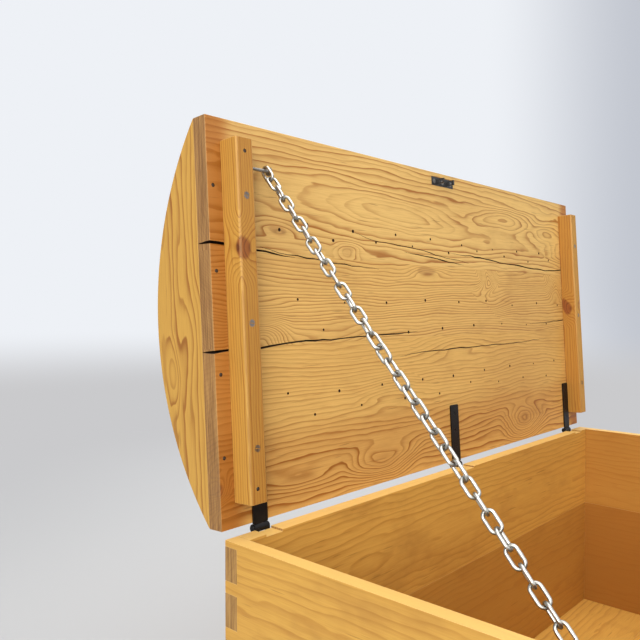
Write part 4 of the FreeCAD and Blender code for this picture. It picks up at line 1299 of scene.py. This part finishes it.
def build_screws():
    chance = random.Random(SCREW_SEED)
    tree = screw_tree()
    for node in sorted(frame["nodes"]):
        if "screw" not in node:
            continue
        slot = SLOT_OF[node]
        points = []
        for solid in islands(node):
            middle, out, radius, length = screw_measures(node, solid)
            points.append((middle, out, chance.uniform(0, math.pi)))
        values = {
            "Head Radius": radius, "Under Head Radius": SCREW_RADIUS, "Head Depth": COUNTERSINK,
            "Crown": 0.0, "Shank Radius": SCREW_RADIUS, "Length": length, "Finish": METALS[slot],
        }
        if node in CHAIN_SCREWS:
            radius = CHAIN_HEAD_RADIUS
            values.update({
                "Head Radius": radius, "Under Head Radius": radius * CHAIN_HEAD_TAPER,
                "Head Depth": CHAIN_HEAD_HEIGHT, "Crown": CHAIN_HEAD_HEIGHT / 2,
                "Shank Radius": CHAIN_SCREW_RADIUS, "Finish": DULL_STEEL,
            })
        values["Slot Width"] = radius * SLOT_WIDTH_SHARE
        values["Slot Depth"] = radius * SLOT_DEPTH_SHARE
        mesh = grown_mesh("slotted_" + node, tree, values, seed_points(node + "_points", points))
        new_piece("slotted_" + node, mesh, BODY_OF[node], node=node)


# Stage

SWEEP_REACH = 6.0
SWEEP_RADIUS = 1.0
SWEEP_HEIGHT = 7.0
SWEEP_STEPS = 16
SWEEP_SECTORS = 96
SWEEP_TURN = -47.0
FLOOR_PAINT = srgb(191, 191, 191)
FLOOR_GLOW = srgb(202, 202, 204)
FLOOR_ROUGHNESS = 0.9
WALL_BRIGHT = srgb(238, 241, 246)
WALL_SHADED = srgb(194, 198, 207)
# Distances in metres over which the glowing wall takes painted shade to the side, rises and takes over from the
# floor.
SHADE_ASIDE = (1.2, 2.7)
SHADE_BEHIND = (1.0, 4.0)
WALL_RISE = (0.0, 0.5)
WALL_START = (1.2, 3.2)


def sweep_material():
    """Pale paint that the camera and polished metal see as a bright wall beyond the floor."""
    material, graph, shader = finish_material("pale_sweep")
    shader.inputs["Base Color"].default_value = FLOOR_PAINT
    shader.inputs["Roughness"].default_value = FLOOR_ROUGHNESS
    place = graph.object_place()
    turn = Matrix.Rotation(math.radians(SWEEP_TURN), 3, "Z")

    def toward(direction, span):
        inputs = {0: place, 1: turn @ Vector(direction)}
        reach = graph.add("ShaderNodeVectorMath", inputs, operation="DOT_PRODUCT")
        return graph.spread(reach.outputs["Value"], *span)

    shade = graph.times(toward((1, 0, 0), SHADE_ASIDE), toward((0, 1, 0), SHADE_BEHIND))
    wall = graph.tint(shade, WALL_BRIGHT, WALL_SHADED)
    tone = graph.tint(toward((0, 0, 1), WALL_RISE), FLOOR_GLOW, wall)
    glow = graph.add("ShaderNodeEmission", {"Color": tone, "Strength": 1.0}).outputs[0]
    open_air = graph.add("ShaderNodeBsdfTransparent").outputs[0]
    beyond = graph.add("ShaderNodeMixShader", {0: graph.seen(), 1: open_air, 2: glow}).outputs[0]
    share = graph.spread(graph.length(place), *WALL_START)
    mixed = graph.add("ShaderNodeMixShader", {0: share, 1: shader.outputs[0], 2: beyond})
    output = material.node_tree.nodes["Material Output"]
    graph.feed(output.inputs["Surface"], mixed.outputs[0])
    return material


def build_stage():
    """Round floor that curves up into a wall."""
    profile = []
    for step in range(SWEEP_STEPS + 1):
        angle = math.pi / 2 * step / SWEEP_STEPS
        out = SWEEP_REACH - SWEEP_RADIUS + SWEEP_RADIUS * math.sin(angle)
        profile.append((out, SWEEP_RADIUS - SWEEP_RADIUS * math.cos(angle)))
    profile.append((SWEEP_REACH, SWEEP_HEIGHT))
    turns = [2 * math.pi * sector / SWEEP_SECTORS for sector in range(SWEEP_SECTORS)]
    work = bmesh.new()
    rows = [
        [work.verts.new((out * math.cos(turn), out * math.sin(turn), up)) for turn in turns]
        for out, up in profile
    ]
    work.faces.new(rows[0])
    join_rings(work, rows)
    bmesh.ops.recalc_face_normals(work, faces=work.faces)
    bmesh.ops.reverse_faces(work, faces=work.faces)
    mesh = plain_mesh("studio_sweep", work)
    mesh.shade_smooth()
    mesh.materials.append(sweep_material())
    sweep = linked("studio_sweep", mesh)


# Light and camera

SKY_LEVEL = 0.36
# Name, place, target, size in metres and power in watts.
LAMPS = (
    ("window_key", (-3.4, -1.4, 1.9), (0, 0.2, 0.6), 2.2, 120),
    ("soft_fill", (0.6, -3.2, 1.8), (0, 0, 0.6), 2.5, 16),
    ("back_fill", (2.7, 3.0, 1.9), (0, 0, 0.5), 2.6, 85),
    ("ceiling", (-0.2, -0.4, 3.4), (0, 0, 0), 3.0, 90),
)
CAMERA_PLACE = (-1.0772, -0.3956, 0.7067)
CAMERA_YAW = 42.771
CAMERA_PITCH = -1.167
CAMERA_LENS = 38.78
CAMERA_SENSOR = 36.0
CAMERA_NEAR = 0.02


def light_studio():
    scene = bpy.context.scene
    world = bpy.data.worlds.new("soft_studio")
    world.use_nodes = True
    graph = Graph(world.node_tree)
    sky = world.node_tree.nodes["Background"]
    sky.inputs["Color"].default_value = WALL_BRIGHT
    strength = graph.math("MULTIPLY_ADD", graph.seen(), 1.0 - SKY_LEVEL, SKY_LEVEL)
    graph.feed(sky.inputs["Strength"], strength)
    scene.world = world
    scene.view_settings.view_transform = "Standard"
    for name, place, target, size, power in LAMPS:
        light = bpy.data.lights.new(name, "AREA")
        light.energy = power
        light.size = size
        lamp = linked(name, light)
        lamp.location = place
        direction = Vector(target) - Vector(place)
        lamp.rotation_euler = direction.to_track_quat("-Z", "Y").to_euler()


def place_camera():
    camera = bpy.data.cameras.new("photo_view")
    camera.lens = CAMERA_LENS
    camera.sensor_width = CAMERA_SENSOR
    camera.clip_start = CAMERA_NEAR
    view = linked("photo_view", camera)
    view.location = CAMERA_PLACE
    view.rotation_euler = (math.radians(90 + CAMERA_PITCH), 0, math.radians(CAMERA_YAW - 90))
    bpy.context.scene.camera = view


build_boards()
build_ironwork()
build_chain()
build_screws()
build_stage()
light_studio()
place_camera()
